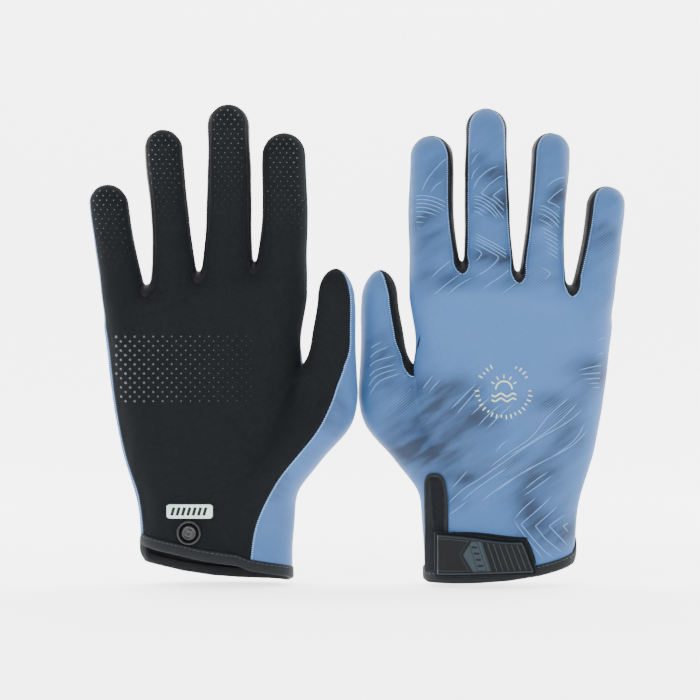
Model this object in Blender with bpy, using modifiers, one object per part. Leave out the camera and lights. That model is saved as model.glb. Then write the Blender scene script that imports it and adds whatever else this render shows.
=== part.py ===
"""A pair of full-finger sailing gloves, each filled as if a hand were in it.

Both gloves stand upright with the fingers along +Z.  Glove A shows its palm to -Y,
glove B is the same glove turned half a turn about Z.  Every sewn panel is its own
shell, and the fingers, the thumb and the cuff strap turn on hinges.

A glove is first described as one smooth solid: a flat hand body and five tapering
digits, joined by a soft union.  Each panel is a sheet of points that rays from the
middle of the glove find on that solid, thickened inward by Solidify.
"""

import math

import bmesh
import bpy
import numpy as np
from mathutils import Vector

MM = 0.001

# driving dimensions in millimetres: x to the thumb, y to the back of the hand, z from the
# lowest point of the cuff to the fingertips
FABRIC = 1.0                # thickness of a sewn panel
SEAM_GAP = 0.8              # gap at a seam between two panels
UNION_SOFTNESS = 0.8        # how softly the digits flow into the hand
CROTCH_DEPTH = 6.0          # how far a side strip's web reaches below its crotch
HINGE_RISE = 5.0            # from the higher crotch of a finger up to its hinge plane
CREASE = 1.0                # hinge axis outside the palm face
THUMB_FLEX_ROLL = 15.0      # degrees the thumb's hinge axis is turned toward the palm's middle
CUFF_MIDDLE = (2.8, 0.0, 9.0)       # the middle of a cuff opening, glove A's is the origin
PAIR_SPACING = 146.8        # between the middles of the two gloves
CUFF_TAPE = 5.0             # height of the cuff binding
TAPE = 0.6                  # thickness of the binding tape
TAPE_GAP = 0.45             # between the tape and the panels it is folded over

# a digit's ray: (height, centre x, centre y, half width, half depth)
RAYS = {
    "little": [(70, -33, 0, 9, 10), (110, -38.5, 0, 10.5, 11), (140, -43.2, 0, 11.4, 10.6),
               (152, -45.3, -0.2, 10.6, 9.6), (169, -48.4, -1.2, 9.9, 8.9),
               (188, -50.9, -3.4, 9.7, 8.6), (197, -51.2, -4.8, 9.5, 8.4)],
    "ring": [(75, -13, 0, 11, 10.5), (115, -16, 0, 12.5, 11.3), (146, -18.2, 0, 12.4, 10.8),
             (160, -18.9, -0.1, 10.6, 9.8), (183, -20.7, -1.3, 9.3, 9.1),
             (213, -23.3, -5.2, 9.6, 8.8), (224, -23.5, -7.2, 9.4, 8.6)],
    "middle": [(78, 4, 0, 11, 10.5), (118, 6.5, 0, 13.2, 11.5), (150, 8.0, 0, 13.7, 11.2),
               (164, 8.3, -0.1, 12.1, 10.3), (193, 9.1, -1.6, 11.0, 9.4),
               (226, 9.0, -6.2, 10.4, 9.0), (236.5, 9.0, -8.2, 10.2, 8.8)],
    "index": [(75, 24, 0, 11, 10.5), (118, 29.5, 0, 12.8, 11.3), (150, 34, 0, 13.8, 11),
              (163, 35.6, -0.1, 12.2, 10.1), (180, 36.9, -0.9, 11.4, 9.5),
              (212, 36.4, -4.6, 10.7, 9), (222.5, 36.4, -6.6, 10.5, 8.8)],
    "thumb": [(18, 22, -1, 15, 11), (45, 26.8, -2, 17, 13), (60, 38, -3.4, 17.5, 14.4),
              (78.5, 53, -4.4, 17.7, 14.2), (90, 57.2, -4.6, 15.8, 12.9), (102, 58.0, -4.8, 14.9, 11.8),
              (112, 60.3, -5.4, 12.0, 10.8), (124, 61.3, -6.2, 10.8, 9.9),
              (139, 62.6, -7.6, 9.5, 9.1), (155.3, 62.0, -9.2, 8.4, 8.2)],
}
TIP = {"little": 197, "ring": 224, "middle": 236.5, "index": 222.5, "thumb": 155.3}
DOME = {"little": 9.6, "ring": 9.6, "middle": 10.6, "index": 10.6, "thumb": 14}
DIGITS = ["little", "ring", "middle", "index", "thumb"]     # from the ulnar edge to the thumb

# the hand body: (height, ulnar edge x, radial edge x), and its crown line from edge to edge
EDGES = [(0, -34.6, 40.2), (19, -34.9, 41.0), (44, -38.0, 42.5), (64, -44.4, 44.5),
         (88, -49.0, 45.6), (107, -51.3, 45.4), (120, -52.6, 44.6), (138, -54.6, 47.0), (164, -55.5, 48.6)]
CROWN = [(-56, 139), (-33, 147), (-6.8, 153.3), (20.9, 157.8), (49, 155)]
BACK_DEPTH = 12.6
PALM_DEPTH = 11.2
CROWN_ROUND = 15.0
EDGE_ROUND = 20.0
WRIST_SWELL = 0.12          # share by which the section is deeper at the cuff, fading out at 50
SIDE_THINNING = 0.10        # share by which the section is thinner at the hand's two edges
ROOT_FADE = 25.0            # height over which a digit fades out below its ray

# where neighbouring digits part: (x, height) of the crotch, the line of the border below it on
# the back and on the palm as (height, x), and the middle of the section there
BORDERS = {
    "little": dict(crotch=(-32.6, 147.4), back=[(0, -15), (60, -19.5), (105, -26)],
                   palm=[(0, -17), (60, -21), (105, -26)], mid=0.0),
    "ring": dict(crotch=(-6.3, 154.0), back=[(0, 0), (60, -2), (105, -5)],
                 palm=[(0, -5), (60, -5), (105, -5)], mid=0.0),
    "middle": dict(crotch=(21.7, 158.6), back=[(0, 13), (60, 16), (105, 19)],
                   palm=[(0, 5), (60, 11), (105, 18)], mid=0.0),
    "index": dict(crotch=(45.4, 107.5), back=[(0, 25), (40, 29), (70, 37)],
                  palm=[(0, 12), (40, 20), (70, 34)], mid=-2.5),
}
WAIST = BORDERS["index"]["crotch"][1] - CROTCH_DEPTH     # where the thumb parts from the hand
KNUCKLE_EDGE = {"little": 141.0, "index": 151.0}         # the crotch row at the hand's two edges
ULNAR_INSET = 10.0          # from the hand's ulnar edge in to the middle line of that side
THUMB_INSET = 11.0          # the same at the thumb side of the cuff
RADIAL_INSET = 13.5         # the same at the index knuckle
THUMB_OVERLAP = 4.0         # the thumb's outer edge keeps the hand's rows this far above the waist
OPEN_ANGLE = 58.0           # degrees from the back line of a finger round to its side strip
LITTLE_WRAP = (60.0, 112.0)     # where back fabric's side turns and where palm fabric starts
INDEX_WRAP = (62.0, 118.0)
THUMB_WRAP = (60.0, 180.0, 140.0)       # turn, palm seam at the hand, palm seam on the thumb
THUMB_INNER = (34.0, 20.0, 150.0)       # back seam at the hand, on the thumb, and palm turn
TIP_PINCH = 16.0            # degrees by which the side strips narrow at a fingertip
RAIL_IN, RAIL_TIP = 0.3, 0.2    # rails from the ray, in half widths: at the hinge, at the tip
ROLL = {"little": -20, "ring": -12, "middle": 0, "index": 16}   # how far each finger is rolled
LEAN = {"little": -7.6, "ring": -4.1, "middle": 0.5, "index": 1.2, "thumb": 2.3}
THUMB_SEAM = [(5, 19.5), (30, 23.6), (48, 32.4), (78.5, 55.4), (89, 60.3), (104, 65.0)]
CUFF_BACK = [(-60, 10.5), (-33, 9.0), (-12, 3.0), (10, 0.6), (40, 0.0), (60, 0.0)]
CUFF_PALM = [(-60, 20.0), (-35, 18.6), (-2.8, 11.0), (20, 7.8), (40, 6.4), (60, 6.0)]

# what is fixed on the panels: x and height on the back or the palm, lift off it, thickness
SNAP_AT = (-10.3, 24.4)
SNAP_RING = [(6.0, 1.2), (6.0, 0.4), (4.6, 0.4), (4.6, 1.2), (5.3, 1.7)]    # radius, height
SNAP_CENTRE = [(0, 1.4), (3.6, 1.4), (4.2, 0.4), (0, 0.4)]
SNAP_WASHER = [(0, -1.4), (5.4, -1.4), (5.4, -2.1), (0, -2.1)]
LABEL = dict(x=(-21.5, 1.5), z=(31.5, 38.5), lift=0.35, thick=0.4)
LOOP_PATCH = dict(x=(27.0, -15.5), top=25.5, lift=0.45, thick=0.8)
STRAP = dict(root=36.0, end=-14.5, inset=0.0, lift=2.1, thick=1.0)
TAB = dict(root=34.5, end=-12.8, inset=1.6, lift=3.5, thick=2.0)
STRAP_LOW = (2.4, 4.0)      # lower edge of the strap at its root and at its end
STRAP_HIGH = (25.4, 20.2)   # upper edge
STRAP_HINGE = (38.2, 14.0, 3.0)         # x, height, and how far outside the back
GUSSET = dict(low=7.0, high=53.0, around=51.0, lean=5.0, half=(24.0, 19.0), lift=0.4, rise=0.7,
              thick=0.8)

# rows of each stretch and columns of each face
ROWS = dict(hand=8, knuckle=5, crotch=3, finger=4, dome=3)
FACE_COLUMNS = 3
SIDE_COLUMNS = 4

COLOURS = {
    "blue_fabric": ((0.17, 0.31, 0.54), 0.75),
    "black_suede": ((0.018, 0.021, 0.025), 0.85),
    "black_side": ((0.04, 0.04, 0.055), 0.6),
    "black_tape": ((0.012, 0.013, 0.015), 0.8),
    "black_fleece": ((0.015, 0.015, 0.017), 0.95),
    "rubber": ((0.04, 0.05, 0.06), 0.5),
    "mint_film": ((0.64, 0.76, 0.72), 0.6),
    "black_snap": ((0.02, 0.022, 0.025), 0.35),
}


# curves and the solid

def through(knots, at):
    """A smooth curve through knots (position, value, ...), level beyond both ends."""
    knots = np.asarray(knots, float)
    t, values = knots[:, 0], knots[:, 1:]
    slopes = np.gradient(values, t, axis=0)
    at = np.clip(at, t[0], t[-1])
    k = np.clip(np.searchsorted(t, at) - 1, 0, len(t) - 2)
    h = t[k + 1] - t[k]
    s = (at - t[k]) / h
    h, s = h[..., None], s[..., None]
    out = ((1 + 2 * s) * (1 - s) ** 2 * values[k] + s * (1 - s) ** 2 * h * slopes[k]
           + s * s * (3 - 2 * s) * values[k + 1] + s * s * (s - 1) * h * slopes[k + 1])
    return out[..., 0] if out.shape[-1] == 1 else np.moveaxis(out, -1, 0)


def smooth(s):
    s = np.clip(s, 0.0, 1.0)
    return s * s * (3 - 2 * s)


def digit_field(p, name):
    """Rough distance to a digit: an ellipse that follows its ray, with a domed tip."""
    x, y, z = p[..., 0], p[..., 1], p[..., 2]
    cx, cy, a, b = through(RAYS[name], z)
    tip = np.maximum(0.0, (z - TIP[name] + DOME[name]) / DOME[name])
    foot = np.maximum(0.0, (RAYS[name][0][0] - z) / ROOT_FADE)
    return (np.sqrt(((x - cx) / a) ** 2 + ((y - cy) / b) ** 2 + tip ** 2 + foot ** 2) - 1) * b


def hand_field(p):
    """Rough distance to the hand body: a flat stadium section under a rounded crown line."""
    x, y, z = p[..., 0], p[..., 1], p[..., 2]
    left, right = through(EDGES, z)
    crown = through(CROWN, x)
    mid, half = (left + right) / 2, (right - left) / 2
    across = np.maximum(0.0, (np.abs(x - mid) - half + EDGE_ROUND) / EDGE_ROUND)
    wrist = 1 + WRIST_SWELL * smooth((50 - z) / 50)
    thin = 1 - SIDE_THINNING * ((x - mid) / half) ** 2
    depth = np.where(y > 0, BACK_DEPTH, PALM_DEPTH) * wrist * thin
    top = np.maximum(0.0, (z - crown + CROWN_ROUND) / CROWN_ROUND)
    return (np.sqrt(across ** 2 + (y / depth) ** 2 + top ** 2) - 1) * BACK_DEPTH


def glove_field(p):
    fields = [hand_field(p)] + [digit_field(p, name) for name in DIGITS]
    return -UNION_SOFTNESS * np.log(sum(np.exp(-f / UNION_SOFTNESS) for f in fields))


def cast(origin, direction, reach=34.0, step=0.4):
    """Where rays from inside the glove first leave it."""
    origin, direction = np.broadcast_arrays(origin, direction)
    low = np.zeros(origin.shape[:-1])
    open_ray = np.ones(low.shape, bool)
    for r in np.arange(step, reach, step):
        inside = glove_field(origin + r * direction) < 0
        low = np.where(open_ray & inside, r, low)
        open_ray &= inside
    high = low + step
    for _ in range(16):
        middle = (low + high) / 2
        inside = glove_field(origin + middle[..., None] * direction) < 0
        low, high = np.where(inside, middle, low), np.where(inside, high, middle)
    return origin + ((low + high) / 2)[..., None] * direction


# rails: the edges of each digit's faces

def rail(back, palm, tilt, start, stop):
    """One edge of a digit: ray origins on the back and the palm, and the angles between them."""
    values = dict(back=back, palm=palm, tilt=tilt, start=start, stop=stop)
    return {key: np.array(value, float) for key, value in values.items()}


def border_line(border, face, z):
    """Where a border runs on the back or the palm: x at each height."""
    x, top = border["crotch"]
    return through(border[face] + [(top - CROTCH_DEPTH, x)], z)


def crotch_arc(border, side, reach, rise, beta):
    """Ray origin under a crotch as the ray swings from straight up (0) to sideways (90 degrees)."""
    x, z = border["crotch"]
    s, c = np.sin(beta), np.cos(beta)
    sideways = 1.05 * s * (CROTCH_DEPTH + (reach - CROTCH_DEPTH) * s * s)
    return x - side * sideways, z - CROTCH_DEPTH * c + rise * (1 - c) ** 2


def hinge_height(name, x):
    """Height of the plane where a digit's own panels start, square to the digit."""
    crotches = [BORDERS[n]["crotch"] for n in BORDERS]
    i = DIGITS.index(name)
    near = [crotches[k] for k in (i - 1, i) if 0 <= k < 4 and not (name == "index" and k == 3)]
    near = [crotches[3]] if name == "thumb" else near
    top = max(z for _, z in near) + HINGE_RISE
    cx = through(RAYS[name], np.array(top))[0]
    x_top = max(near, key=lambda c: c[1])[0]
    slope = math.tan(math.radians(LEAN[name]))
    return top + slope * (x_top - cx) - slope * (x - cx), float(cx)


def outer_edge(name, z):
    """Middle line of the side that has no neighbour: ulnar for the little finger, radial for the thumb."""
    left, right = through(EDGES, z)
    cx, cy, a, _ = through(RAYS[name], z)
    if name == "little":
        high = smooth((z - 100) / 40)
        return (left + ULNAR_INSET) * (1 - high) + (cx - RAIL_IN * a) * high, np.zeros_like(z)
    low = smooth((z - 20) / 40)
    return (right - THUMB_INSET) * (1 - low) + (cx + 0.35 * a) * low, cy * low


def digit_rails(name, rows=ROWS):
    """The left and right rails of a digit, row by row from the cuff to the tip."""
    i = DIGITS.index(name)
    sides = []
    borders = (BORDERS.get(DIGITS[i - 1]) if i else None, BORDERS.get(name))
    for side, border in zip((-1, 1), borders):
        parts = [below(name, side, border, rows)]
        if name != "thumb":
            parts.append(knuckle(name, side, border, rows))
        parts.append(crotch(name, side, border, rows))
        parts.append(finger(name, side, rows))
        parts.append(dome(name, side, rows))
        sides.append({k: np.concatenate([p[k] for p in parts]) for k in parts[0]})
    return sides


def seam_angles(name, side, z):
    """Angles from the back line where the back fabric ends and where the palm fabric starts."""
    if name == "thumb" and side > 0:
        turn, low, high = THUMB_WRAP
        return turn + 0 * z, low + (high - low) * smooth((z - 96) / 24)
    if name == "thumb":
        low, high, turn = THUMB_INNER
        return high + (low - high) * smooth((122 - z) / 12), turn + 0 * z
    if name == "little" and side < 0:
        return LITTLE_WRAP[0] + 0 * z, LITTLE_WRAP[1] + 0 * z
    if name == "index" and side > 0:
        return INDEX_WRAP[0] + 0 * z, INDEX_WRAP[1] + 0 * z
    roll = side * ROLL[name]
    return OPEN_ANGLE + roll + 0 * z, 180 - OPEN_ANGLE + roll + 0 * z


def below(name, side, border, rows):
    """From the cuff to the waist where the thumb parts from the hand."""
    s = np.linspace(0, 1, rows["hand"])
    if border:
        z_back = through(CUFF_BACK, border_line(border, "back", np.zeros(1)))
        z_palm = through(CUFF_PALM, border_line(border, "palm", np.zeros(1)))
        z_back, z_palm = z_back + (WAIST - z_back) * s, z_palm + (WAIST - z_palm) * s
        mid = border["mid"] * smooth(s * 1.6 - 0.6)
        back = np.stack([border_line(border, "back", z_back), mid, z_back], -1)
        palm = np.stack([border_line(border, "palm", z_palm), mid, z_palm], -1)
        return rail(back, palm, 0 * s, 0 * s, 180 + 0 * s)
    top = WAIST + (THUMB_OVERLAP if name == "thumb" else 0)
    x0 = through(EDGES, np.zeros(1))[0 if side < 0 else 1]
    z_back = through(CUFF_BACK, x0) + (top - through(CUFF_BACK, x0)) * s
    z_palm = through(CUFF_PALM, x0) + (top - through(CUFF_PALM, x0)) * s
    x_back, y_back = outer_edge(name, z_back)
    x_palm, y_palm = outer_edge(name, z_palm)
    start, stop = seam_angles(name, side, z_palm)
    if name == "thumb":
        on_palm = smooth((WAIST + 8 - z_palm) / 14)
        x_palm = x_palm + (through(THUMB_SEAM, z_palm) - x_palm) * on_palm
    back = np.stack([x_back, y_back, z_back], -1)
    palm = np.stack([x_palm, y_palm, z_palm], -1)
    return rail(back, palm, 90 + 0 * s, start, stop)


def knuckle(name, side, border, rows):
    """From the waist to the row where the fingers part."""
    s = np.linspace(0, 1, rows["knuckle"] + 1)[1:]
    if border and not (name == "index" and side > 0):
        z = WAIST + (border["crotch"][1] - CROTCH_DEPTH - WAIST) * s
        back = np.stack([border_line(border, "back", z), 0 * z, z], -1)
        palm = np.stack([border_line(border, "palm", z), 0 * z, z], -1)
        return rail(back, palm, 0 * s, 0 * s, 180 + 0 * s)
    if name == "little":
        z = WAIST + (KNUCKLE_EDGE[name] - WAIST) * s
        x, y = outer_edge(name, z)
        start, stop = seam_angles(name, side, z)
        line = np.stack([x, y, z], -1)
        return rail(line, line, 90 + 0 * s, start, stop)
    turn = np.clip(s / 0.45, 0, 1)
    beta = np.radians(90) * turn
    x, z = crotch_arc(border, side, 13.0, 8.0, beta)
    rest = np.clip((s - 0.45) / 0.55, 0, 1)
    z = z + (KNUCKLE_EDGE[name] - z) * rest
    right = through(EDGES, z)[1]
    x = np.where(rest > 0, x + (right - RADIAL_INSET - x) * smooth(rest), x)
    mid = border["mid"] * (1 - smooth(s * 2))
    line = np.stack([x, mid, z], -1)
    start, stop = seam_angles(name, side, z)
    start, stop = start * smooth(turn), 180 - (180 - stop) * smooth(turn)
    return rail(line, line, np.degrees(beta), start, stop)


def crotch(name, side, border, rows):
    """Round the crotch and up to the hinge plane."""
    s = np.linspace(0, 1, rows["crotch"] + 1)[1:]
    open_side = border is None or (name == "index" and side > 0)
    height, cx = hinge_height(name, 0.0)
    slope = -math.tan(math.radians(LEAN[name]))
    a = through(RAYS[name], np.array(height + slope * cx))[2]
    x_end = cx + side * RAIL_IN * a
    z_end = hinge_height(name, x_end)[0]
    if open_side:
        z0 = KNUCKLE_EDGE.get(name, WAIST + THUMB_OVERLAP)
        z = z0 + (z_end - z0) * s
        if name == "index":
            x0 = through(EDGES, np.array([z0]))[1][0] - RADIAL_INSET
        else:
            x0 = outer_edge(name, np.array([z0]))[0][0]
        y_end = through(RAYS[name], z)[1]
        y0 = -6.0 if name == "thumb" else 0.0
        line = np.stack([x0 + (x_end - x0) * smooth(s), y0 + (y_end - y0) * s, z], -1)
        start, stop = seam_angles(name, side, z)
        palm = line.copy()
        if name == "thumb":
            on_palm = smooth((WAIST + 8 - z) / 14)
            palm[:, 0] += (through(THUMB_SEAM, z) - palm[:, 0]) * on_palm
        return rail(line, palm, 90 + 0 * s, start, stop)
    beta = np.radians(90) * s
    reach = abs(border["crotch"][0] - x_end) / 1.05
    x, z = crotch_arc(border, side, reach, z_end - border["crotch"][1], beta)
    y = border["mid"] + (through(RAYS[name], z)[1] - border["mid"]) * smooth(s)
    line = np.stack([x, y, z], -1)
    start, stop = seam_angles(name, side, z)
    return rail(line, line, np.degrees(beta), start * smooth(s), 180 - (180 - stop) * smooth(s))


def finger(name, side, rows):
    """From the hinge plane up to the dome of the tip."""
    s = np.linspace(0, 1, rows["finger"] + 1)[1:]
    height, cx = hinge_height(name, 0.0)
    z_top = TIP[name] - DOME[name]
    slope = -math.tan(math.radians(LEAN[name]))
    middle = height + slope * cx + (z_top - height - slope * cx) * s
    cx, cy, a, _ = through(RAYS[name], middle)
    x = cx + side * a * (RAIL_IN + (RAIL_TIP - RAIL_IN) * s)
    z = middle + slope * side * RAIL_IN * a * (1 - s)
    line = np.stack([x, cy, z], -1)
    start, stop = seam_angles(name, side, z)
    return rail(line, line, 90 + 0 * s, start, stop)


def dome(name, side, rows):
    """The tip: the rays rise to the pole."""
    s = np.linspace(0, 1, rows["dome"] + 1)[1:]
    z = np.full_like(s, TIP[name] - DOME[name])
    cx, cy, a, _ = through(RAYS[name], z)
    line = np.stack([cx + side * a * RAIL_TIP * (1 - s), cy, z], -1)
    start, stop = seam_angles(name, side, z)
    pinch = 0.0 if name == "thumb" else TIP_PINCH * smooth(s)
    return rail(line, line, 90 + 0 * s, start + pinch, stop - pinch)


def section(rails, q, rows):
    """Ray origins and directions at q round the digit: 0-1 back, 1-2 right, 2-3 palm, 3-4 left."""
    left, right = rails
    q = np.asarray(q, float)[None, :]
    n = len(left["tilt"])
    rise = np.zeros(n)
    rise[n - rows["dome"]:] = np.linspace(0, 90, rows["dome"] + 1)[1:]
    pieces = [(left, "back", "start", -1, right, "back", "start", 1),
              (right, "back", "start", 1, right, "palm", "stop", 1),
              (right, "palm", "stop", 1, left, "palm", "stop", -1),
              (left, "palm", "stop", -1, left, "back", "start", -1)]
    origin = np.zeros((n, q.shape[1], 3))
    angle = np.zeros((n, q.shape[1]))
    for k, (ra, oa, aa, sa, rb, ob, ab, sb) in enumerate(pieces):
        above = q >= k if k == 0 else q > k
        here = (above & (q <= k + 1))[0]
        f = (q[0, here] - k)[None, :]
        first, last = sa * ra[aa][:, None], sb * rb[ab][:, None]
        if k == 2:
            last = last + 360
        if k == 3:
            first, last = first + 360, last + 360
        origin[:, here] = ra[oa][:, None] + (rb[ob] - ra[oa])[:, None] * f[..., None]
        angle[:, here] = first + (last - first) * f
    psi = np.radians(angle)
    sideways = np.where(np.sin(psi) >= 0, 1.0, -1.0)
    tilts = [np.radians(side["tilt"])[:, None] for side in (right, left)]
    swing = np.where(sideways > 0, *tilts)
    out = np.abs(np.sin(psi))
    flat = np.stack([sideways * out * np.sin(swing), np.cos(psi), out * np.cos(swing)], -1)
    lift = np.radians(rise)[:, None, None]
    return origin, flat * np.cos(lift) + np.array([0, 0, 1.0]) * np.sin(lift)


# meshes

def grid_faces(rows, columns, offset=0):
    index = np.arange(rows * columns).reshape(rows, columns) + offset
    a, b, c, d = index[:-1, :-1], index[:-1, 1:], index[1:, 1:], index[1:, :-1]
    return np.stack([a, b, c, d], -1).reshape(-1, 4)


def pull_in_rim(bm, distance):
    """Move the open edges of a surface inward, along the surface, to leave a seam gap."""
    moves = {}
    for edge in bm.edges:
        if not edge.is_boundary:
            continue
        face = edge.link_faces[0]
        along = (edge.verts[1].co - edge.verts[0].co).normalized()
        inward = face.calc_center_median() - edge.verts[0].co
        inward = (inward - along * inward.dot(along)).normalized()
        for vert in edge.verts:
            moves.setdefault(vert, []).append(inward)
    for vert, ways in moves.items():
        total = sum(ways, Vector())
        square = max(total.normalized().dot(ways[0]), 0.3)
        vert.co += total.normalized() * distance / square


def sheet(name, grids, pivot):
    """One open surface from grids of points in millimetres, its shared edges welded, facing out."""
    points, faces, count = [], [], 0
    for grid in grids:
        rows, columns = grid.shape[:2]
        points.append((grid.reshape(-1, 3) - pivot) * MM)
        faces.append(grid_faces(rows, columns, count))
        count += rows * columns
    mesh = bpy.data.meshes.new(name)
    faces = np.concatenate(faces)
    mesh.from_pydata(np.concatenate(points).tolist(), [], faces.tolist())
    bm = bmesh.new()
    bm.from_mesh(mesh)
    bmesh.ops.remove_doubles(bm, verts=bm.verts, dist=0.02 * MM)
    bmesh.ops.dissolve_degenerate(bm, edges=bm.edges, dist=0.02 * MM)
    pull_in_rim(bm, SEAM_GAP / 2 * MM)
    bm.normal_update()
    centres = np.array([face.calc_center_median() for face in bm.faces]) / MM + pivot
    facing = np.array([face.normal for face in bm.faces])
    if (outward(centres) * facing).sum() < 0:
        bmesh.ops.reverse_faces(bm, faces=bm.faces)
    bm.to_mesh(mesh)
    bm.free()
    mesh.shade_smooth()
    return mesh


def patch(x, z, lift=0.0, side=1):
    """A sheet that lies on the back (side 1) or the palm (side -1), lifted by a few millimetres."""
    origin = np.stack([x, np.zeros_like(x), z], -1)
    points = cast(origin, np.array([0, side, 0.0]))
    points[..., 1] += side * lift
    return points


def block(x_range, z_range, columns, rows):
    """A rectangle of x and z values."""
    return np.meshgrid(np.linspace(*x_range, columns), np.linspace(*z_range, rows))


# objects

class Glove:
    """Collects the sub-parts of one glove under its empties."""

    def __init__(self, prefix, root, collection):
        self.prefix, self.root, self.collection = prefix, root, collection
        self.pivots = {}

    def pivot(self, body, at):
        empty = bpy.data.objects.new(f"{self.prefix}_{body}_pivot", None)
        empty.empty_display_size = 0.01
        empty.parent = self.root
        empty.location = Vector(at) * MM
        self.collection.objects.link(empty)
        self.pivots[body] = empty

    def add(self, name, mesh, body, material, modifiers=()):
        obj = bpy.data.objects.new(f"{self.prefix}_{name}", mesh)
        obj.parent = self.pivots[body]
        if not mesh.materials:
            mesh.materials.append(material)
        for kind, settings in modifiers:
            modifier = obj.modifiers.new(kind.title(), kind)
            for key, value in settings.items():
                setattr(modifier, key, value)
        self.collection.objects.link(obj)
        return obj


def shell(thickness=FABRIC, offset=-1.0):
    return ("SOLIDIFY", dict(thickness=thickness * MM, offset=offset, use_even_offset=False))


def principled(name):
    colour, roughness = COLOURS[name]
    material = bpy.data.materials.new(name)
    material.use_nodes = True
    node = material.node_tree.nodes["Principled BSDF"]
    node.inputs["Base Color"].default_value = (*colour, 1.0)
    node.inputs["Roughness"].default_value = roughness
    node.inputs["Metallic"].default_value = 0.0
    material.diffuse_color = (*colour, 1.0)
    return material


# the sewn panels

def spaced(a, b, columns):
    return np.linspace(a, b, columns + 1)


def row_counts(name):
    """Index of the row where a digit parts from its neighbour, and of its hinge row."""
    fork = ROWS["hand"] - 1 + (0 if name == "thumb" else ROWS["knuckle"])
    return fork, fork + ROWS["crotch"]


def surface(rails, q):
    origin, direction = section(rails, q, ROWS)
    return cast(origin, direction)


def build_grids():
    """The sheets of every sewn panel, by part name: (grids, body, material)."""
    parts = {}
    hand_back, hand_palm, webs = [], [], {}
    face, side = FACE_COLUMNS, SIDE_COLUMNS
    half = side // 2
    waist = ROWS["hand"] - 1
    for i, name in enumerate(DIGITS):
        rails = digit_rails(name)
        fork, hinge = row_counts(name)
        back = surface(rails, spaced(0, 1, face))
        right = surface(rails, spaced(1, 2, side))
        palm = surface(rails, spaced(2, 3, face))
        left = surface(rails, spaced(3, 4, side))
        hand_back.append(back[:hinge + 1])
        hand_palm.append(palm[:hinge + 1])
        own_back, own_palm = [back[hinge:]], [palm[hinge:]]
        if name == "little":
            hand_back.append(left[:hinge + 1])
            own_back.append(left[hinge:])
        if name == "thumb":
            hand_back.append(right[:hinge + 1])
            own_back.append(right[hinge:])
            hand_palm.append(left[fork:hinge + 1])
            own_palm.append(left[hinge:])
        if name == "index":
            hand_back.append(right[waist:hinge + 1, :half + 1])
            own_back.append(right[hinge:, :half + 1])
            hand_palm.append(right[waist:hinge + 1, half:])
            own_palm.append(right[hinge:, half:])
        if name in ("little", "ring", "middle"):
            webs.setdefault(name, []).append(right[fork:hinge + 1])
            parts[f"{name}_side_radial"] = ([right[hinge:]], name, "black_side")
        if name in ("ring", "middle", "index"):
            webs.setdefault(DIGITS[i - 1], []).append(left[fork:hinge + 1])
            parts[f"{name}_side_ulnar"] = ([left[hinge:]], name, "black_side")
        parts[f"{name}_back"] = (own_back, name, "blue_fabric")
        parts[f"{name}_palm"] = (own_palm, name, "black_suede")
    parts["back_panel"] = (hand_back, "hand", "blue_fabric")
    parts["palm_panel"] = (hand_palm, "hand", "black_suede")
    for before, grids in webs.items():
        after = DIGITS[DIGITS.index(before) + 1]
        parts[f"web_{before}_{after}"] = (grids, "hand", "black_side")
    return parts


# trims, press stud and strap

def outward(points):
    """The solid's unit normal at points on it."""
    step = 0.05
    slope = [glove_field(points + step * axis) - glove_field(points - step * axis) for axis in np.eye(3)]
    normal = np.stack(slope, -1)
    return normal / np.linalg.norm(normal, axis=-1, keepdims=True)


def cuff_ring():
    """Ray origins and directions once round the cuff's lowest row."""
    faces = []
    for name in DIGITS:
        faces.append((name, spaced(0, 1, FACE_COLUMNS)[:-1]))
    faces.append(("thumb", spaced(1, 2, SIDE_COLUMNS)[:-1]))
    for name in DIGITS[::-1]:
        faces.append((name, spaced(2, 3, FACE_COLUMNS)[:-1]))
    faces.append(("little", spaced(3, 4, SIDE_COLUMNS)[:-1]))
    origins, directions = [], []
    for name, q in faces:
        origin, direction = section(digit_rails(name), q, ROWS)
        origins.append(origin[0])
        directions.append(direction[0])
    return np.concatenate(origins), np.concatenate(directions)


def cuff_binding(name):
    """A tape folded over the cuff's raw edge: a U section carried once round."""
    origin, direction = cuff_ring()
    out, over, inner = TAPE_GAP, TAPE_GAP + TAPE, FABRIC + TAPE_GAP
    profile = [(CUFF_TAPE, out), (CUFF_TAPE, over), (-TAPE, over), (-TAPE, -inner - TAPE),
               (CUFF_TAPE - 0.5, -inner - TAPE), (CUFF_TAPE - 0.5, -inner), (0.0, -inner), (0.0, out)]
    rings = []
    for height, lift in profile:
        points = cast(origin + np.array([0, 0, height]), direction)
        rings.append(points + lift * outward(points))
    rings = np.stack(rings)                                     # profile point, place on the ring
    rows, columns = rings.shape[:2]
    mesh = bpy.data.meshes.new(name)
    k = np.arange(rows * columns).reshape(rows, columns)
    faces = np.stack([k, np.roll(k, -1, 1), np.roll(np.roll(k, -1, 1), -1, 0), np.roll(k, -1, 0)], -1)
    mesh.from_pydata((rings.reshape(-1, 3) * MM).tolist(), [], faces.reshape(-1, 4).tolist())
    return mesh


def turned(name, profile, steps=24):
    """An open edge profile (radius, height) for a Screw modifier about local Z."""
    mesh = bpy.data.meshes.new(name)
    points = [(r * MM, 0.0, h * MM) for r, h in profile]
    closed = profile[0][0] > 0
    edges = [(k, k + 1) for k in range(len(points) - 1)] + ([(len(points) - 1, 0)] if closed else [])
    mesh.from_pydata(points, edges, [])
    screw = ("SCREW", dict(angle=2 * math.pi, steps=steps, render_steps=steps, axis="Z",
                           use_merge_vertices=True, merge_threshold=0.00005))
    return mesh, screw


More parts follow.
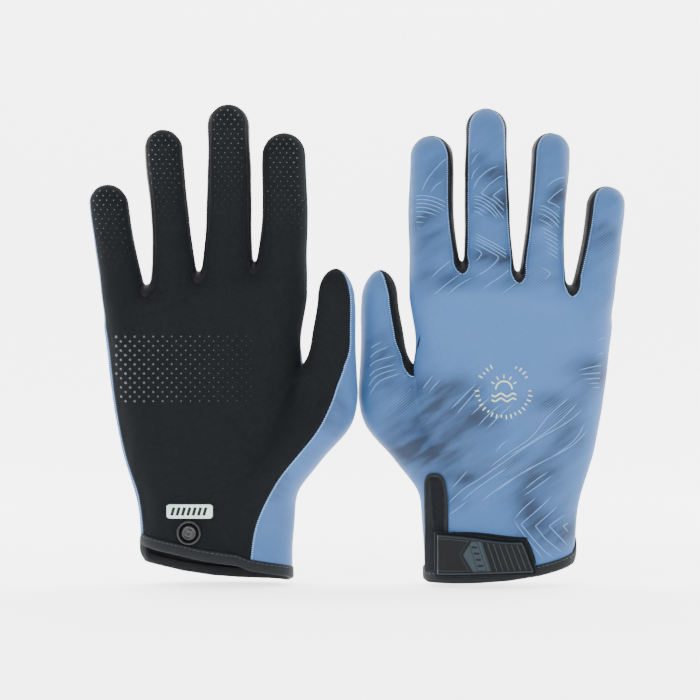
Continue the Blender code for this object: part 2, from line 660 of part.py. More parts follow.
def strap_sheet(part, columns, rows):
    """The strap or its pull tab: a strip along the cuff that narrows a little to its end."""
    x, v = block((part["end"], part["root"]), (0, 1), columns, rows)
    along = (part["root"] - x) / (part["root"] - part["end"])
    low = STRAP_LOW[0] + (STRAP_LOW[1] - STRAP_LOW[0]) * along + part["inset"]
    high = STRAP_HIGH[0] + (STRAP_HIGH[1] - STRAP_HIGH[0]) * smooth(along * 1.3) - part["inset"]
    return patch(x, low + (high - low) * v, part["lift"])


def gusset_sheet(columns=4, rows=7):
    """The stretch vent at the thumb side of the cuff: wide below, round at the top."""
    v = np.linspace(0, 1, rows)[:, None]
    z = GUSSET["low"] + (GUSSET["high"] - GUSSET["low"]) * v
    low, high = GUSSET["half"]
    half = (low + (high - low) * v) * np.sqrt(np.clip(1 - (v / 1.02) ** 8, 0.02, 1))
    across = np.linspace(-1, 1, columns)[None, :]
    angle = np.radians(GUSSET["around"] - GUSSET["lean"] * v + half * across)
    z = z + 0 * angle
    origin = np.stack([24 + 0 * z, 0 * z, z], -1)
    points = cast(origin, np.stack([np.sin(angle), np.cos(angle), 0 * angle], -1))
    lift = GUSSET["lift"] + GUSSET["rise"] * smooth((z - 26) / 12)
    return points + lift[..., None] * outward(points)


def trim_meshes(pivots):
    """Everything on a glove that is not a sewn panel: (name, mesh, body, material, modifiers)."""
    x, z = block(LABEL["x"], LABEL["z"], 5, 3)
    label = sheet("wrist_label", [patch(x, z, LABEL["lift"], -1)], pivots["hand"])
    x, v = block(LOOP_PATCH["x"], (0, 1), 7, 3)
    low = through(CUFF_BACK, x) + CUFF_TAPE + 1.0
    z = low + (LOOP_PATCH["top"] - low) * v
    loop = sheet("loop_patch", [patch(x, z, LOOP_PATCH["lift"])], pivots["hand"])
    gusset = sheet("vent_gusset", [gusset_sheet()], pivots["hand"])
    strap = sheet("hook_strap", [strap_sheet(STRAP, 9, 3)], pivots["strap"])
    tab = sheet("pull_tab", [strap_sheet(TAB, 9, 3)], pivots["strap"])
    return [
        ("wrist_label", label, "hand", "mint_film", [shell(LABEL["thick"], 1)]),
        ("loop_patch", loop, "hand", "black_fleece", [shell(LOOP_PATCH["thick"], 1)]),
        ("vent_gusset", gusset, "hand", "black_fleece", [shell(GUSSET["thick"], 1)]),
        ("hook_strap", strap, "strap", "black_fleece", [shell(STRAP["thick"], 1)]),
        ("pull_tab", tab, "strap", "rubber", [shell(TAB["thick"], 1)]),
        ("cuff_binding", cuff_binding("cuff_binding"), "hand", "black_tape", []),
    ]


def snap_meshes():
    """The press stud on the palm: a cap ring and its centre outside, a washer inside."""
    profiles = {"snap_ring": SNAP_RING, "snap_centre": SNAP_CENTRE, "snap_washer": SNAP_WASHER}
    return {name: turned(name, profile) for name, profile in profiles.items()}


def snap_place():
    """Where the stud's base lies on the palm, and the turn that takes local Z out of it."""
    x, z = SNAP_AT
    at = patch(np.array([[x]]), np.array([[z]]), 0.0, -1)[0, 0]
    normal = Vector(outward(at[None])[0])
    return Vector(at) * MM, normal.to_track_quat("Z", "Y").to_euler()


def hinge_points():
    """Where each digit's hinge crosses its middle, in millimetres."""
    pivots = {"hand": np.zeros(3)}
    for name in DIGITS:
        _, cx = hinge_height(name, 0.0)
        z = hinge_height(name, cx)[0]
        _, cy, a, b = through(RAYS[name], np.array(z))
        roll = math.radians(THUMB_FLEX_ROLL if name == "thumb" else 0)
        reach = math.hypot(a * math.sin(roll), b * math.cos(roll)) + CREASE
        pivots[name] = np.array([cx - reach * math.sin(roll), cy - reach * math.cos(roll), z])
    x, z, outside = STRAP_HINGE
    pivots["strap"] = patch(np.array([[x]]), np.array([[z]]), outside)[0, 0]
    return pivots


def build():
    for obj in list(bpy.data.objects):
        bpy.data.objects.remove(obj, do_unlink=True)
    collection = bpy.data.collections.new("sailing_gloves")
    bpy.context.scene.collection.children.link(collection)
    paint = {name: principled(name) for name in COLOURS}
    pivots = hinge_points()
    pieces = []
    for name, (grids, body, material) in build_grids().items():
        pieces.append((name, sheet(name, grids, pivots[body]), body, material, [shell()]))
    pieces += trim_meshes(pivots)
    studs = snap_meshes()
    stud_at, stud_turn = snap_place()
    for prefix, offset, turn in (("glove_a", 0.0, 0.0), ("glove_b", PAIR_SPACING, math.pi)):
        root = bpy.data.objects.new(prefix, None)
        root.location = (Vector((offset, 0, 0)) - Vector(CUFF_MIDDLE)) * MM
        root.rotation_euler = (0, 0, turn)
        collection.objects.link(root)
        glove = Glove(prefix, root, collection)
        for body, at in pivots.items():
            glove.pivot(body, at)
        for name, mesh, body, material, modifiers in pieces:
            glove.add(name, mesh, body, paint[material], modifiers)
        for name, (mesh, screw) in studs.items():
            obj = glove.add(name, mesh, "hand", paint["black_snap"], [screw])
            obj.location = stud_at
            obj.rotation_euler = stud_turn
    bpy.context.view_layer.update()


build()
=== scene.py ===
import math

import bpy
import numpy as np
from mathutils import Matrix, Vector


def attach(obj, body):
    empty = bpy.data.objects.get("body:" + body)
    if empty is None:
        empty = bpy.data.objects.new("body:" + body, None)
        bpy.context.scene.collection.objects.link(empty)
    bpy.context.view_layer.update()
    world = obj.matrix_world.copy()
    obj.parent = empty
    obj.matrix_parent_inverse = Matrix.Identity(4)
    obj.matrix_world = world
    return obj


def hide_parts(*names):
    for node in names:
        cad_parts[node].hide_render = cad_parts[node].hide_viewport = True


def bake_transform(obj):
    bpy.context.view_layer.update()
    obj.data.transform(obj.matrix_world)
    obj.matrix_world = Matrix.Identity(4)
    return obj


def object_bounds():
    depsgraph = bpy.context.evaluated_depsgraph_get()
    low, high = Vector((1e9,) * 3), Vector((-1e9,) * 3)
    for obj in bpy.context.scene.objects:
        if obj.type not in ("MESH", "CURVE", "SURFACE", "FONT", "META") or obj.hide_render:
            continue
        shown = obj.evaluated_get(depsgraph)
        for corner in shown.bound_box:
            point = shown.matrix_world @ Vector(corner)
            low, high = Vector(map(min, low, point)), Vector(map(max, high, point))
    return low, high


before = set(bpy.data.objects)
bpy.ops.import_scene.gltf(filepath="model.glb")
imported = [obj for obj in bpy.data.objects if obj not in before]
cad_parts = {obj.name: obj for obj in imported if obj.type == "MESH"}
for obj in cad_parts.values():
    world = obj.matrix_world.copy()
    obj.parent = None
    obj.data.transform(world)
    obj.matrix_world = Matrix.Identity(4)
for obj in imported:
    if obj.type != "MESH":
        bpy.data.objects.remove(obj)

# Sailing gloves, seen from the palm (glove A) and from the back (glove B).
# Shapes are worked out in millimetres in one glove's own frame: x to the thumb, y to the back
# of the hand, z from the cuff to the fingertips. placeIn turns them into the frame's metres.
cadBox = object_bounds()
mm = 0.001
random = np.random.default_rng(7)

crotchDepth = 6.0
hingeRise = 5.0
unionSoftness = 0.8
# a digit's ray: (height, centre x, centre y, half width, half depth)
rays = {
    "little": [(70, -33, 0, 9, 10), (110, -38.5, 0, 10.5, 11), (140, -43.2, 0, 11.4, 10.6),
               (152, -45.3, -0.2, 10.6, 9.6), (169, -48.4, -1.2, 9.9, 8.9),
               (188, -50.9, -3.4, 9.7, 8.6), (197, -51.2, -4.8, 9.5, 8.4)],
    "ring": [(75, -13, 0, 11, 10.5), (115, -16, 0, 12.5, 11.3), (146, -18.2, 0, 12.4, 10.8),
             (160, -18.9, -0.1, 10.6, 9.8), (183, -20.7, -1.3, 9.3, 9.1),
             (213, -23.3, -5.2, 9.6, 8.8), (224, -23.5, -7.2, 9.4, 8.6)],
    "middle": [(78, 4, 0, 11, 10.5), (118, 6.5, 0, 13.2, 11.5), (150, 8.0, 0, 13.7, 11.2),
               (164, 8.3, -0.1, 12.1, 10.3), (193, 9.1, -1.6, 11.0, 9.4),
               (226, 9.0, -6.2, 10.4, 9.0), (236.5, 9.0, -8.2, 10.2, 8.8)],
    "index": [(75, 24, 0, 11, 10.5), (118, 29.5, 0, 12.8, 11.3), (150, 34, 0, 13.8, 11),
              (163, 35.6, -0.1, 12.2, 10.1), (180, 36.9, -0.9, 11.4, 9.5),
              (212, 36.4, -4.6, 10.7, 9), (222.5, 36.4, -6.6, 10.5, 8.8)],
    "thumb": [(18, 22, -1, 15, 11), (45, 26.8, -2, 17, 13), (60, 38, -3.4, 17.5, 14.4),
              (78.5, 53, -4.4, 17.7, 14.2), (90, 57.2, -4.6, 15.8, 12.9), (102, 58.0, -4.8, 14.9, 11.8),
              (112, 60.3, -5.4, 12.0, 10.8), (124, 61.3, -6.2, 10.8, 9.9),
              (139, 62.6, -7.6, 9.5, 9.1), (155.3, 62.0, -9.2, 8.4, 8.2)],
}
tipHeight = {"little": 197, "ring": 224, "middle": 236.5, "index": 222.5, "thumb": 155.3}
domeHeight = {"little": 9.6, "ring": 9.6, "middle": 10.6, "index": 10.6, "thumb": 14}
digits = ["little", "ring", "middle", "index", "thumb"]     # from the ulnar edge to the thumb

# the hand body: (height, ulnar edge x, radial edge x), and its crown line from edge to edge
edges = [(0, -34.6, 40.2), (19, -34.9, 41.0), (44, -38.0, 42.5), (64, -44.4, 44.5),
         (88, -49.0, 45.6), (107, -51.3, 45.4), (120, -52.6, 44.6), (138, -54.6, 47.0), (164, -55.5, 48.6)]
crownLine = [(-56, 139), (-33, 147), (-6.8, 153.3), (20.9, 157.8), (49, 155)]
backDepth = 12.6
palmDepth = 11.2
crownRound = 15.0
edgeRound = 20.0
wristSwell = 0.12          # share by which the section is deeper at the cuff, fading out at 50
sideThinning = 0.10        # share by which the section is thinner at the hand's two edges
rootFade = 25.0            # height over which a digit fades out below its ray

# where neighbouring digits part: (x, height) of the crotch, the line of the border below it on
# the back and on the palm as (height, x), and the middle of the section there
borderLines = {
    "little": dict(crotch=(-32.6, 147.4), back=[(0, -15), (60, -19.5), (105, -26)],
                   palm=[(0, -17), (60, -21), (105, -26)], mid=0.0),
    "ring": dict(crotch=(-6.3, 154.0), back=[(0, 0), (60, -2), (105, -5)],
                 palm=[(0, -5), (60, -5), (105, -5)], mid=0.0),
    "middle": dict(crotch=(21.7, 158.6), back=[(0, 13), (60, 16), (105, 19)],
                   palm=[(0, 5), (60, 11), (105, 18)], mid=0.0),
    "index": dict(crotch=(45.4, 107.5), back=[(0, 25), (40, 29), (70, 37)],
                  palm=[(0, 12), (40, 20), (70, 34)], mid=-2.5),
}
waist = borderLines["index"]["crotch"][1] - crotchDepth     # where the thumb parts from the hand
knuckleEdge = {"little": 141.0, "index": 151.0}         # the crotch row at the hand's two edges
ulnarInset = 10.0          # from the hand's ulnar edge in to the middle line of that side
thumbInset = 11.0          # the same at the thumb side of the cuff
radialInset = 13.5         # the same at the index knuckle
thumbOverlap = 4.0         # the thumb's outer edge keeps the hand's rows this far above the waist
openAngle = 58.0           # degrees from the back line of a finger round to its side strip
littleWrap = (60.0, 112.0)     # where back fabric's side turns and where palm fabric starts
indexWrap = (62.0, 118.0)
thumbWrap = (60.0, 180.0, 140.0)       # turn, palm seam at the hand, palm seam on the thumb
thumbInner = (34.0, 20.0, 150.0)       # back seam at the hand, on the thumb, and palm turn
tipPinch = 16.0            # degrees by which the side strips narrow at a fingertip
railIn, railTip = 0.3, 0.2    # rails from the ray, in half widths: at the hinge, at the tip
rollAngle = {"little": -20, "ring": -12, "middle": 0, "index": 16}   # how far each finger is rolled
leanAngle = {"little": -7.6, "ring": -4.1, "middle": 0.5, "index": 1.2, "thumb": 2.3}
thumbSeam = [(5, 19.5), (30, 23.6), (48, 32.4), (78.5, 55.4), (89, 60.3), (104, 65.0)]
cuffBack = [(-60, 10.5), (-33, 9.0), (-12, 3.0), (10, 0.6), (40, 0.0), (60, 0.0)]
cuffPalm = [(-60, 20.0), (-35, 18.6), (-2.8, 11.0), (20, 7.8), (40, 6.4), (60, 6.0)]

# A smooth curve through knots (position, value, ...), level beyond both ends.
def through(knots, at):
    knots = np.asarray(knots, float)
    t, values = knots[:, 0], knots[:, 1:]
    slopes = np.gradient(values, t, axis=0)
    at = np.clip(at, t[0], t[-1])
    k = np.clip(np.searchsorted(t, at) - 1, 0, len(t) - 2)
    h = t[k + 1] - t[k]
    s = (at - t[k]) / h
    h, s = h[..., None], s[..., None]
    out = ((1 + 2 * s) * (1 - s) ** 2 * values[k] + s * (1 - s) ** 2 * h * slopes[k]
           + s * s * (3 - 2 * s) * values[k + 1] + s * s * (s - 1) * h * slopes[k + 1])
    return out[..., 0] if out.shape[-1] == 1 else np.moveaxis(out, -1, 0)

def smooth(s):
    s = np.clip(s, 0.0, 1.0)
    return s * s * (3 - 2 * s)

# Rough distance to a digit: an ellipse that follows its ray, with a domed tip.
def digitField(p, name):
    x, y, z = p[..., 0], p[..., 1], p[..., 2]
    cx, cy, a, b = through(rays[name], z)
    tip = np.maximum(0.0, (z - tipHeight[name] + domeHeight[name]) / domeHeight[name])
    foot = np.maximum(0.0, (rays[name][0][0] - z) / rootFade)
    return (np.sqrt(((x - cx) / a) ** 2 + ((y - cy) / b) ** 2 + tip ** 2 + foot ** 2) - 1) * b

# Rough distance to the hand body: a flat stadium section under a rounded crown line.
def handField(p):
    x, y, z = p[..., 0], p[..., 1], p[..., 2]
    left, right = through(edges, z)
    crown = through(crownLine, x)
    mid, half = (left + right) / 2, (right - left) / 2
    across = np.maximum(0.0, (np.abs(x - mid) - half + edgeRound) / edgeRound)
    wrist = 1 + wristSwell * smooth((50 - z) / 50)
    thin = 1 - sideThinning * ((x - mid) / half) ** 2
    depth = np.where(y > 0, backDepth, palmDepth) * wrist * thin
    top = np.maximum(0.0, (z - crown + crownRound) / crownRound)
    return (np.sqrt(across ** 2 + (y / depth) ** 2 + top ** 2) - 1) * backDepth

def gloveField(p):
    fields = [handField(p)] + [digitField(p, name) for name in digits]
    return -unionSoftness * np.log(sum(np.exp(-f / unionSoftness) for f in fields))

# One edge of a digit: ray origins on the back and the palm, and the angles between them.
def rail(back, palm, tilt, start, stop):
    values = dict(back=back, palm=palm, tilt=tilt, start=start, stop=stop)
    return {key: np.array(value, float) for key, value in values.items()}

# Where a border runs on the back or the palm: x at each height.
def borderLine(border, face, z):
    x, top = border["crotch"]
    return through(border[face] + [(top - crotchDepth, x)], z)

# Ray origin under a crotch as the ray swings from straight up (0) to sideways (90 degrees).
def crotchArc(border, side, reach, rise, beta):
    x, z = border["crotch"]
    s, c = np.sin(beta), np.cos(beta)
    sideways = 1.05 * s * (crotchDepth + (reach - crotchDepth) * s * s)
    return x - side * sideways, z - crotchDepth * c + rise * (1 - c) ** 2

# Height of the plane where a digit's own panels start, square to the digit.
def hingeHeight(name, x):
    crotches = [borderLines[n]["crotch"] for n in borderLines]
    i = digits.index(name)
    near = [crotches[k] for k in (i - 1, i) if 0 <= k < 4 and not (name == "index" and k == 3)]
    near = [crotches[3]] if name == "thumb" else near
    top = max(z for _, z in near) + hingeRise
    cx = through(rays[name], np.array(top))[0]
    xTop = max(near, key=lambda c: c[1])[0]
    slope = math.tan(math.radians(leanAngle[name]))
    return top + slope * (xTop - cx) - slope * (x - cx), float(cx)

# Middle line of the side that has no neighbour: ulnar for the little finger, radial for the thumb.
def outerEdge(name, z):
    left, right = through(edges, z)
    cx, cy, a, _ = through(rays[name], z)
    if name == "little":
        high = smooth((z - 100) / 40)
        return (left + ulnarInset) * (1 - high) + (cx - railIn * a) * high, np.zeros_like(z)
    low = smooth((z - 20) / 40)
    return (right - thumbInset) * (1 - low) + (cx + 0.35 * a) * low, cy * low

# The left and right rails of a digit, row by row from the cuff to the tip.
def digitRails(name, rows):
    i = digits.index(name)
    sides = []
    borders = (borderLines.get(digits[i - 1]) if i else None, borderLines.get(name))
    for side, border in zip((-1, 1), borders):
        parts = [below(name, side, border, rows)]
        if name != "thumb":
            parts.append(knuckle(name, side, border, rows))
        parts.append(crotch(name, side, border, rows))
        parts.append(finger(name, side, rows))
        parts.append(dome(name, side, rows))
        sides.append({k: np.concatenate([p[k] for p in parts]) for k in parts[0]})
    return sides

# Angles from the back line where the back fabric ends and where the palm fabric starts.
def seamAngles(name, side, z):
    if name == "thumb" and side > 0:
        turn, low, high = thumbWrap
        return turn + 0 * z, low + (high - low) * smooth((z - 96) / 24)
    if name == "thumb":
        low, high, turn = thumbInner
        return high + (low - high) * smooth((122 - z) / 12), turn + 0 * z
    if name == "little" and side < 0:
        return littleWrap[0] + 0 * z, littleWrap[1] + 0 * z
    if name == "index" and side > 0:
        return indexWrap[0] + 0 * z, indexWrap[1] + 0 * z
    roll = side * rollAngle[name]
    return openAngle + roll + 0 * z, 180 - openAngle + roll + 0 * z

# From the cuff to the waist where the thumb parts from the hand.
def below(name, side, border, rows):
    s = np.linspace(0, 1, rows["hand"])
    if border:
        zBack = through(cuffBack, borderLine(border, "back", np.zeros(1)))
        zPalm = through(cuffPalm, borderLine(border, "palm", np.zeros(1)))
        zBack, zPalm = zBack + (waist - zBack) * s, zPalm + (waist - zPalm) * s
        mid = border["mid"] * smooth(s * 1.6 - 0.6)
        back = np.stack([borderLine(border, "back", zBack), mid, zBack], -1)
        palm = np.stack([borderLine(border, "palm", zPalm), mid, zPalm], -1)
        return rail(back, palm, 0 * s, 0 * s, 180 + 0 * s)
    top = waist + (thumbOverlap if name == "thumb" else 0)
    x0 = through(edges, np.zeros(1))[0 if side < 0 else 1]
    zBack = through(cuffBack, x0) + (top - through(cuffBack, x0)) * s
    zPalm = through(cuffPalm, x0) + (top - through(cuffPalm, x0)) * s
    xBack, yBack = outerEdge(name, zBack)
    xPalm, yPalm = outerEdge(name, zPalm)
    start, stop = seamAngles(name, side, zPalm)
    if name == "thumb":
        onPalm = smooth((waist + 8 - zPalm) / 14)
        xPalm = xPalm + (through(thumbSeam, zPalm) - xPalm) * onPalm
    back = np.stack([xBack, yBack, zBack], -1)
    palm = np.stack([xPalm, yPalm, zPalm], -1)
    return rail(back, palm, 90 + 0 * s, start, stop)

# From the waist to the row where the fingers part.
def knuckle(name, side, border, rows):
    s = np.linspace(0, 1, rows["knuckle"] + 1)[1:]
    if border and not (name == "index" and side > 0):
        z = waist + (border["crotch"][1] - crotchDepth - waist) * s
        back = np.stack([borderLine(border, "back", z), 0 * z, z], -1)
        palm = np.stack([borderLine(border, "palm", z), 0 * z, z], -1)
        return rail(back, palm, 0 * s, 0 * s, 180 + 0 * s)
    if name == "little":
        z = waist + (knuckleEdge[name] - waist) * s
        x, y = outerEdge(name, z)
        start, stop = seamAngles(name, side, z)
        line = np.stack([x, y, z], -1)
        return rail(line, line, 90 + 0 * s, start, stop)
    turn = np.clip(s / 0.45, 0, 1)
    beta = np.radians(90) * turn
    x, z = crotchArc(border, side, 13.0, 8.0, beta)
    rest = np.clip((s - 0.45) / 0.55, 0, 1)
    z = z + (knuckleEdge[name] - z) * rest
    right = through(edges, z)[1]
    x = np.where(rest > 0, x + (right - radialInset - x) * smooth(rest), x)
    mid = border["mid"] * (1 - smooth(s * 2))
    line = np.stack([x, mid, z], -1)
    start, stop = seamAngles(name, side, z)
    start, stop = start * smooth(turn), 180 - (180 - stop) * smooth(turn)
    return rail(line, line, np.degrees(beta), start, stop)

# Round the crotch and up to the hinge plane.
def crotch(name, side, border, rows):
    s = np.linspace(0, 1, rows["crotch"] + 1)[1:]
    openSide = border is None or (name == "index" and side > 0)
    height, cx = hingeHeight(name, 0.0)
    slope = -math.tan(math.radians(leanAngle[name]))
    a = through(rays[name], np.array(height + slope * cx))[2]
    xEnd = cx + side * railIn * a
    zEnd = hingeHeight(name, xEnd)[0]
    if openSide:
        z0 = knuckleEdge.get(name, waist + thumbOverlap)
        z = z0 + (zEnd - z0) * s
        if name == "index":
            x0 = through(edges, np.array([z0]))[1][0] - radialInset
        else:
            x0 = outerEdge(name, np.array([z0]))[0][0]
        yEnd = through(rays[name], z)[1]
        y0 = -6.0 if name == "thumb" else 0.0
        line = np.stack([x0 + (xEnd - x0) * smooth(s), y0 + (yEnd - y0) * s, z], -1)
        start, stop = seamAngles(name, side, z)
        palm = line.copy()
        if name == "thumb":
            onPalm = smooth((waist + 8 - z) / 14)
            palm[:, 0] += (through(thumbSeam, z) - palm[:, 0]) * onPalm
        return rail(line, palm, 90 + 0 * s, start, stop)
    beta = np.radians(90) * s
    reach = abs(border["crotch"][0] - xEnd) / 1.05
    x, z = crotchArc(border, side, reach, zEnd - border["crotch"][1], beta)
    y = border["mid"] + (through(rays[name], z)[1] - border["mid"]) * smooth(s)
    line = np.stack([x, y, z], -1)
    start, stop = seamAngles(name, side, z)
    return rail(line, line, np.degrees(beta), start * smooth(s), 180 - (180 - stop) * smooth(s))

# From the hinge plane up to the dome of the tip.
def finger(name, side, rows):
    s = np.linspace(0, 1, rows["finger"] + 1)[1:]
    height, cx = hingeHeight(name, 0.0)
    zTop = tipHeight[name] - domeHeight[name]
    slope = -math.tan(math.radians(leanAngle[name]))
    middle = height + slope * cx + (zTop - height - slope * cx) * s
    cx, cy, a, _ = through(rays[name], middle)
    x = cx + side * a * (railIn + (railTip - railIn) * s)
    z = middle + slope * side * railIn * a * (1 - s)
    line = np.stack([x, cy, z], -1)
    start, stop = seamAngles(name, side, z)
    return rail(line, line, 90 + 0 * s, start, stop)

# The tip: the rays rise to the pole.
def dome(name, side, rows):
    s = np.linspace(0, 1, rows["dome"] + 1)[1:]
    z = np.full_like(s, tipHeight[name] - domeHeight[name])
    cx, cy, a, _ = through(rays[name], z)
    line = np.stack([cx + side * a * railTip * (1 - s), cy, z], -1)
    start, stop = seamAngles(name, side, z)
    pinch = 0.0 if name == "thumb" else tipPinch * smooth(s)
    return rail(line, line, 90 + 0 * s, start + pinch, stop - pinch)

# Ray origins and directions at q round the digit: 0-1 back, 1-2 right, 2-3 palm, 3-4 left.
def section(rails, q, rows):
    left, right = rails
    q = np.asarray(q, float)[None, :]
    n = len(left["tilt"])
    rise = np.zeros(n)
    rise[n - rows["dome"]:] = np.linspace(0, 90, rows["dome"] + 1)[1:]
    pieces = [(left, "back", "start", -1, right, "back", "start", 1),
              (right, "back", "start", 1, right, "palm", "stop", 1),
              (right, "palm", "stop", 1, left, "palm", "stop", -1),
              (left, "palm", "stop", -1, left, "back", "start", -1)]
    origin = np.zeros((n, q.shape[1], 3))
    angle = np.zeros((n, q.shape[1]))
    for k, (ra, oa, aa, sa, rb, ob, ab, sb) in enumerate(pieces):
        above = q >= k if k == 0 else q > k
        here = (above & (q <= k + 1))[0]
        f = (q[0, here] - k)[None, :]
        first, last = sa * ra[aa][:, None], sb * rb[ab][:, None]
        if k == 2:
            last = last + 360
        if k == 3:
            first, last = first + 360, last + 360
        origin[:, here] = ra[oa][:, None] + (rb[ob] - ra[oa])[:, None] * f[..., None]
        angle[:, here] = first + (last - first) * f
    psi = np.radians(angle)
    sideways = np.where(np.sin(psi) >= 0, 1.0, -1.0)
    tilts = [np.radians(side["tilt"])[:, None] for side in (right, left)]
    swing = np.where(sideways > 0, *tilts)
    out = np.abs(np.sin(psi))
    flat = np.stack([sideways * out * np.sin(swing), np.cos(psi), out * np.cos(swing)], -1)
    lift = np.radians(rise)[:, None, None]
    return origin, flat * np.cos(lift) + np.array([0, 0, 1.0]) * np.sin(lift)

cuffMiddle = np.array([2.8, 0.0, 9.0])
pairSpacing = 146.8
gloves = ("a", "b")

# glove A keeps its axes, glove B is turned half a turn about Z
def placeIn(points, glove):
    points = np.asarray(points, float)
    if glove == "b":
        points = points * np.array([-1.0, -1.0, 1.0]) + np.array([pairSpacing, 0.0, 0.0])
    return (points - cuffMiddle) * mm

# unit normal of the smooth solid, from the slope of its field
def outward(points):
    step = 0.05
    slope = [gloveField(points + step * axis) - gloveField(points - step * axis) for axis in np.eye(3)]
    normal = np.stack(slope, -1)
    return normal / np.linalg.norm(normal, axis=-1, keepdims=True)

# where rays from inside the glove first leave the solid: march out, then halve the step 14 times
def cast(origin, direction, reach=30.0, step=0.8):
    origin, direction = np.broadcast_arrays(origin, direction)
    shape = origin.shape[:-1]
    origin, direction = origin.reshape(-1, 3), direction.reshape(-1, 3)
    low = np.zeros(len(origin))
    going = np.arange(len(origin))
    for r in np.arange(step, reach, step):
        inside = gloveField(origin[going] + r * direction[going]) < 0
        going = going[inside]
        low[going] = r
        if not len(going):
            break
    high = low + step
    for _ in range(14):
        middle = (low + high) / 2
        inside = gloveField(origin + middle[:, None] * direction) < 0
        low, high = np.where(inside, middle, low), np.where(inside, high, middle)
    return (origin + ((low + high) / 2)[:, None] * direction).reshape(shape + (3,))

# smallest distance from each point to a cloud of target points, a block at a time
def nearest(points, targets):
    flat = points.reshape(-1, 3).astype(np.float32)
    best = np.full(len(flat), 1e6, np.float32)
    for block in np.array_split(targets.astype(np.float32), max(1, len(targets) // 200)):
        gap = ((flat[:, None, :] - block[None]) ** 2).sum(-1).min(1)
        best = np.minimum(best, gap)
    return np.sqrt(best).reshape(points.shape[:-1])

# points put in between, so that a line is a cloud closer than the cloth's own grid
def denser(line, parts=5):
    t = np.linspace(0, 1, parts, endpoint=False)[None, :, None]
    return (line[:-1, None] * (1 - t) + line[1:, None] * t).reshape(-1, 3)

waveTurns = random.normal(size=(9, 3))
waveTurns /= np.linalg.norm(waveTurns, axis=1, keepdims=True)
waveLengths = random.uniform(16.0, 34.0, 9)
wavePhases = random.uniform(0.0, 2 * math.pi, 9)

# slack of stretched cloth: nine crossing sine waves, about a quarter of a millimetre in all
def slack(points):
    total = np.zeros(points.shape[:-1])
    for turn, length, phase in zip(waveTurns, waveLengths, wavePhases):
        total += 0.06 * np.sin(points @ turn * (2 * math.pi / length) + phase)
    return total

# a crease is a short valley with a soft ridge beside it: (from, to, side, width, depth)
creases = [
    ((41.0, 104.0), (31.0, 92.0), -1, 1.6, 0.55), ((43.0, 99.0), (36.0, 84.0), -1, 1.4, 0.4),
    ((-12.0, 143.0), (-26.0, 133.0), -1, 2.2, 0.35), ((16.0, 8.0), (-6.0, 34.0), -1, 3.0, 0.3),
    ((-30.0, 20.0), (-36.0, 60.0), -1, 3.2, 0.28), ((26.0, 60.0), (12.0, 84.0), -1, 3.2, 0.25),
    ((38.0, 57.0), (22.0, 63.0), 1, 2.4, 0.3), ((49.0, 100.0), (30.0, 88.0), 1, 2.6, 0.4),
    ((-30.0, 16.0), (-34.0, 40.0), 1, 3.0, 0.3), ((44.0, 120.0), (36.0, 108.0), 1, 2.2, 0.3),
    ((47.0, 92.0), (30.0, 80.0), 1, 3.2, 0.3),
]

# the quirk seam that shapes the thumb on the palm
quirk = np.array([(42.3, 106.0), (38.5, 99.0), (37.2, 91.0), (38.4, 83.0), (41.6, 75.5)])

def distanceTo(x, z, a, b):
    a, b = np.array(a, float), np.array(b, float)
    along = b - a
    t = np.clip(((x - a[0]) * along[0] + (z - a[1]) * along[1]) / (along @ along), 0, 1)
    return np.hypot(x - a[0] - t * along[0], z - a[1] - t * along[1]), t

# how far the finished cloth lies off the smooth solid: slack, creases and the dip at seams
def relief(points, seamGap):
    x, y, z = points[..., 0], points[..., 1], points[..., 2]
    out = slack(points)
    for a, b, side, width, depth in creases:
        gap, t = distanceTo(x, z, a, b)
        fade = np.sin(math.pi * np.clip(0.12 + 0.8 * t, 0, 1)) * smooth(side * y / 4)
        ridge, valley = np.exp(-((gap - 1.6 * width) / width) ** 2), np.exp(-(gap / width) ** 2)
        out += fade * depth * (0.6 * ridge - valley)
    for k in range(len(quirk) - 1):
        gap, _ = distanceTo(x, z, quirk[k], quirk[k + 1])
        out -= 0.22 * np.exp(-(gap / 0.7) ** 2) * smooth(-y / 4)
    keep = smooth(seamGap / 3.0)
    return out * keep - 0.34 * np.exp(-(seamGap / 0.55) ** 2) + 0.16 * np.exp(-((seamGap - 1.7) / 0.9) ** 2)

def gridFaces(rows, columns, offset=0):
    index = np.arange(rows * columns).reshape(rows, columns) + offset
    return np.stack([index[:-1, :-1], index[:-1, 1:], index[1:, 1:], index[1:, :-1]], -1).reshape(-1, 4)

materials = {}

# one mesh object, its points given in millimetres; a face whose corners fell together becomes a
# triangle, and every point keeps its rest place as an attribute
def makeObject(name, points, faces, glove, material, values=None):
    points = np.asarray(points, float)
    keep = faces != np.roll(faces, -1, 1)
    sizes = keep.sum(1)
    good = sizes >= 3
    loops, sizes = faces[good][keep[good]], sizes[good]
    mesh = bpy.data.meshes.new(name)
    mesh.vertices.add(len(points))
    mesh.vertices.foreach_set("co", placeIn(points, glove).astype(np.float32).ravel())
    mesh.loops.add(len(loops))
    mesh.loops.foreach_set("vertex_index", loops.astype(np.int32))
    mesh.polygons.add(len(sizes))
    starts = np.concatenate([[0], np.cumsum(sizes)[:-1]])
    mesh.polygons.foreach_set("loop_start", starts.astype(np.int32))
    mesh.update(calc_edges=True)
    mesh.validate()
    rest = mesh.attributes.new("rest", "FLOAT_VECTOR", "POINT")
    rest.data.foreach_set("vector", points.astype(np.float32).ravel())
    for key, value in (values or {}).items():
        layer = mesh.attributes.new(key, "FLOAT", "POINT")
        layer.data.foreach_set("value", np.asarray(value, np.float32).ravel())
    mesh.materials.append(materials[material])
    mesh.shade_smooth()
    obj = bpy.data.objects.new(name, mesh)
    bpy.context.scene.collection.objects.link(obj)
    return obj

# several grids welded where they share an edge
weldGap = 0.004

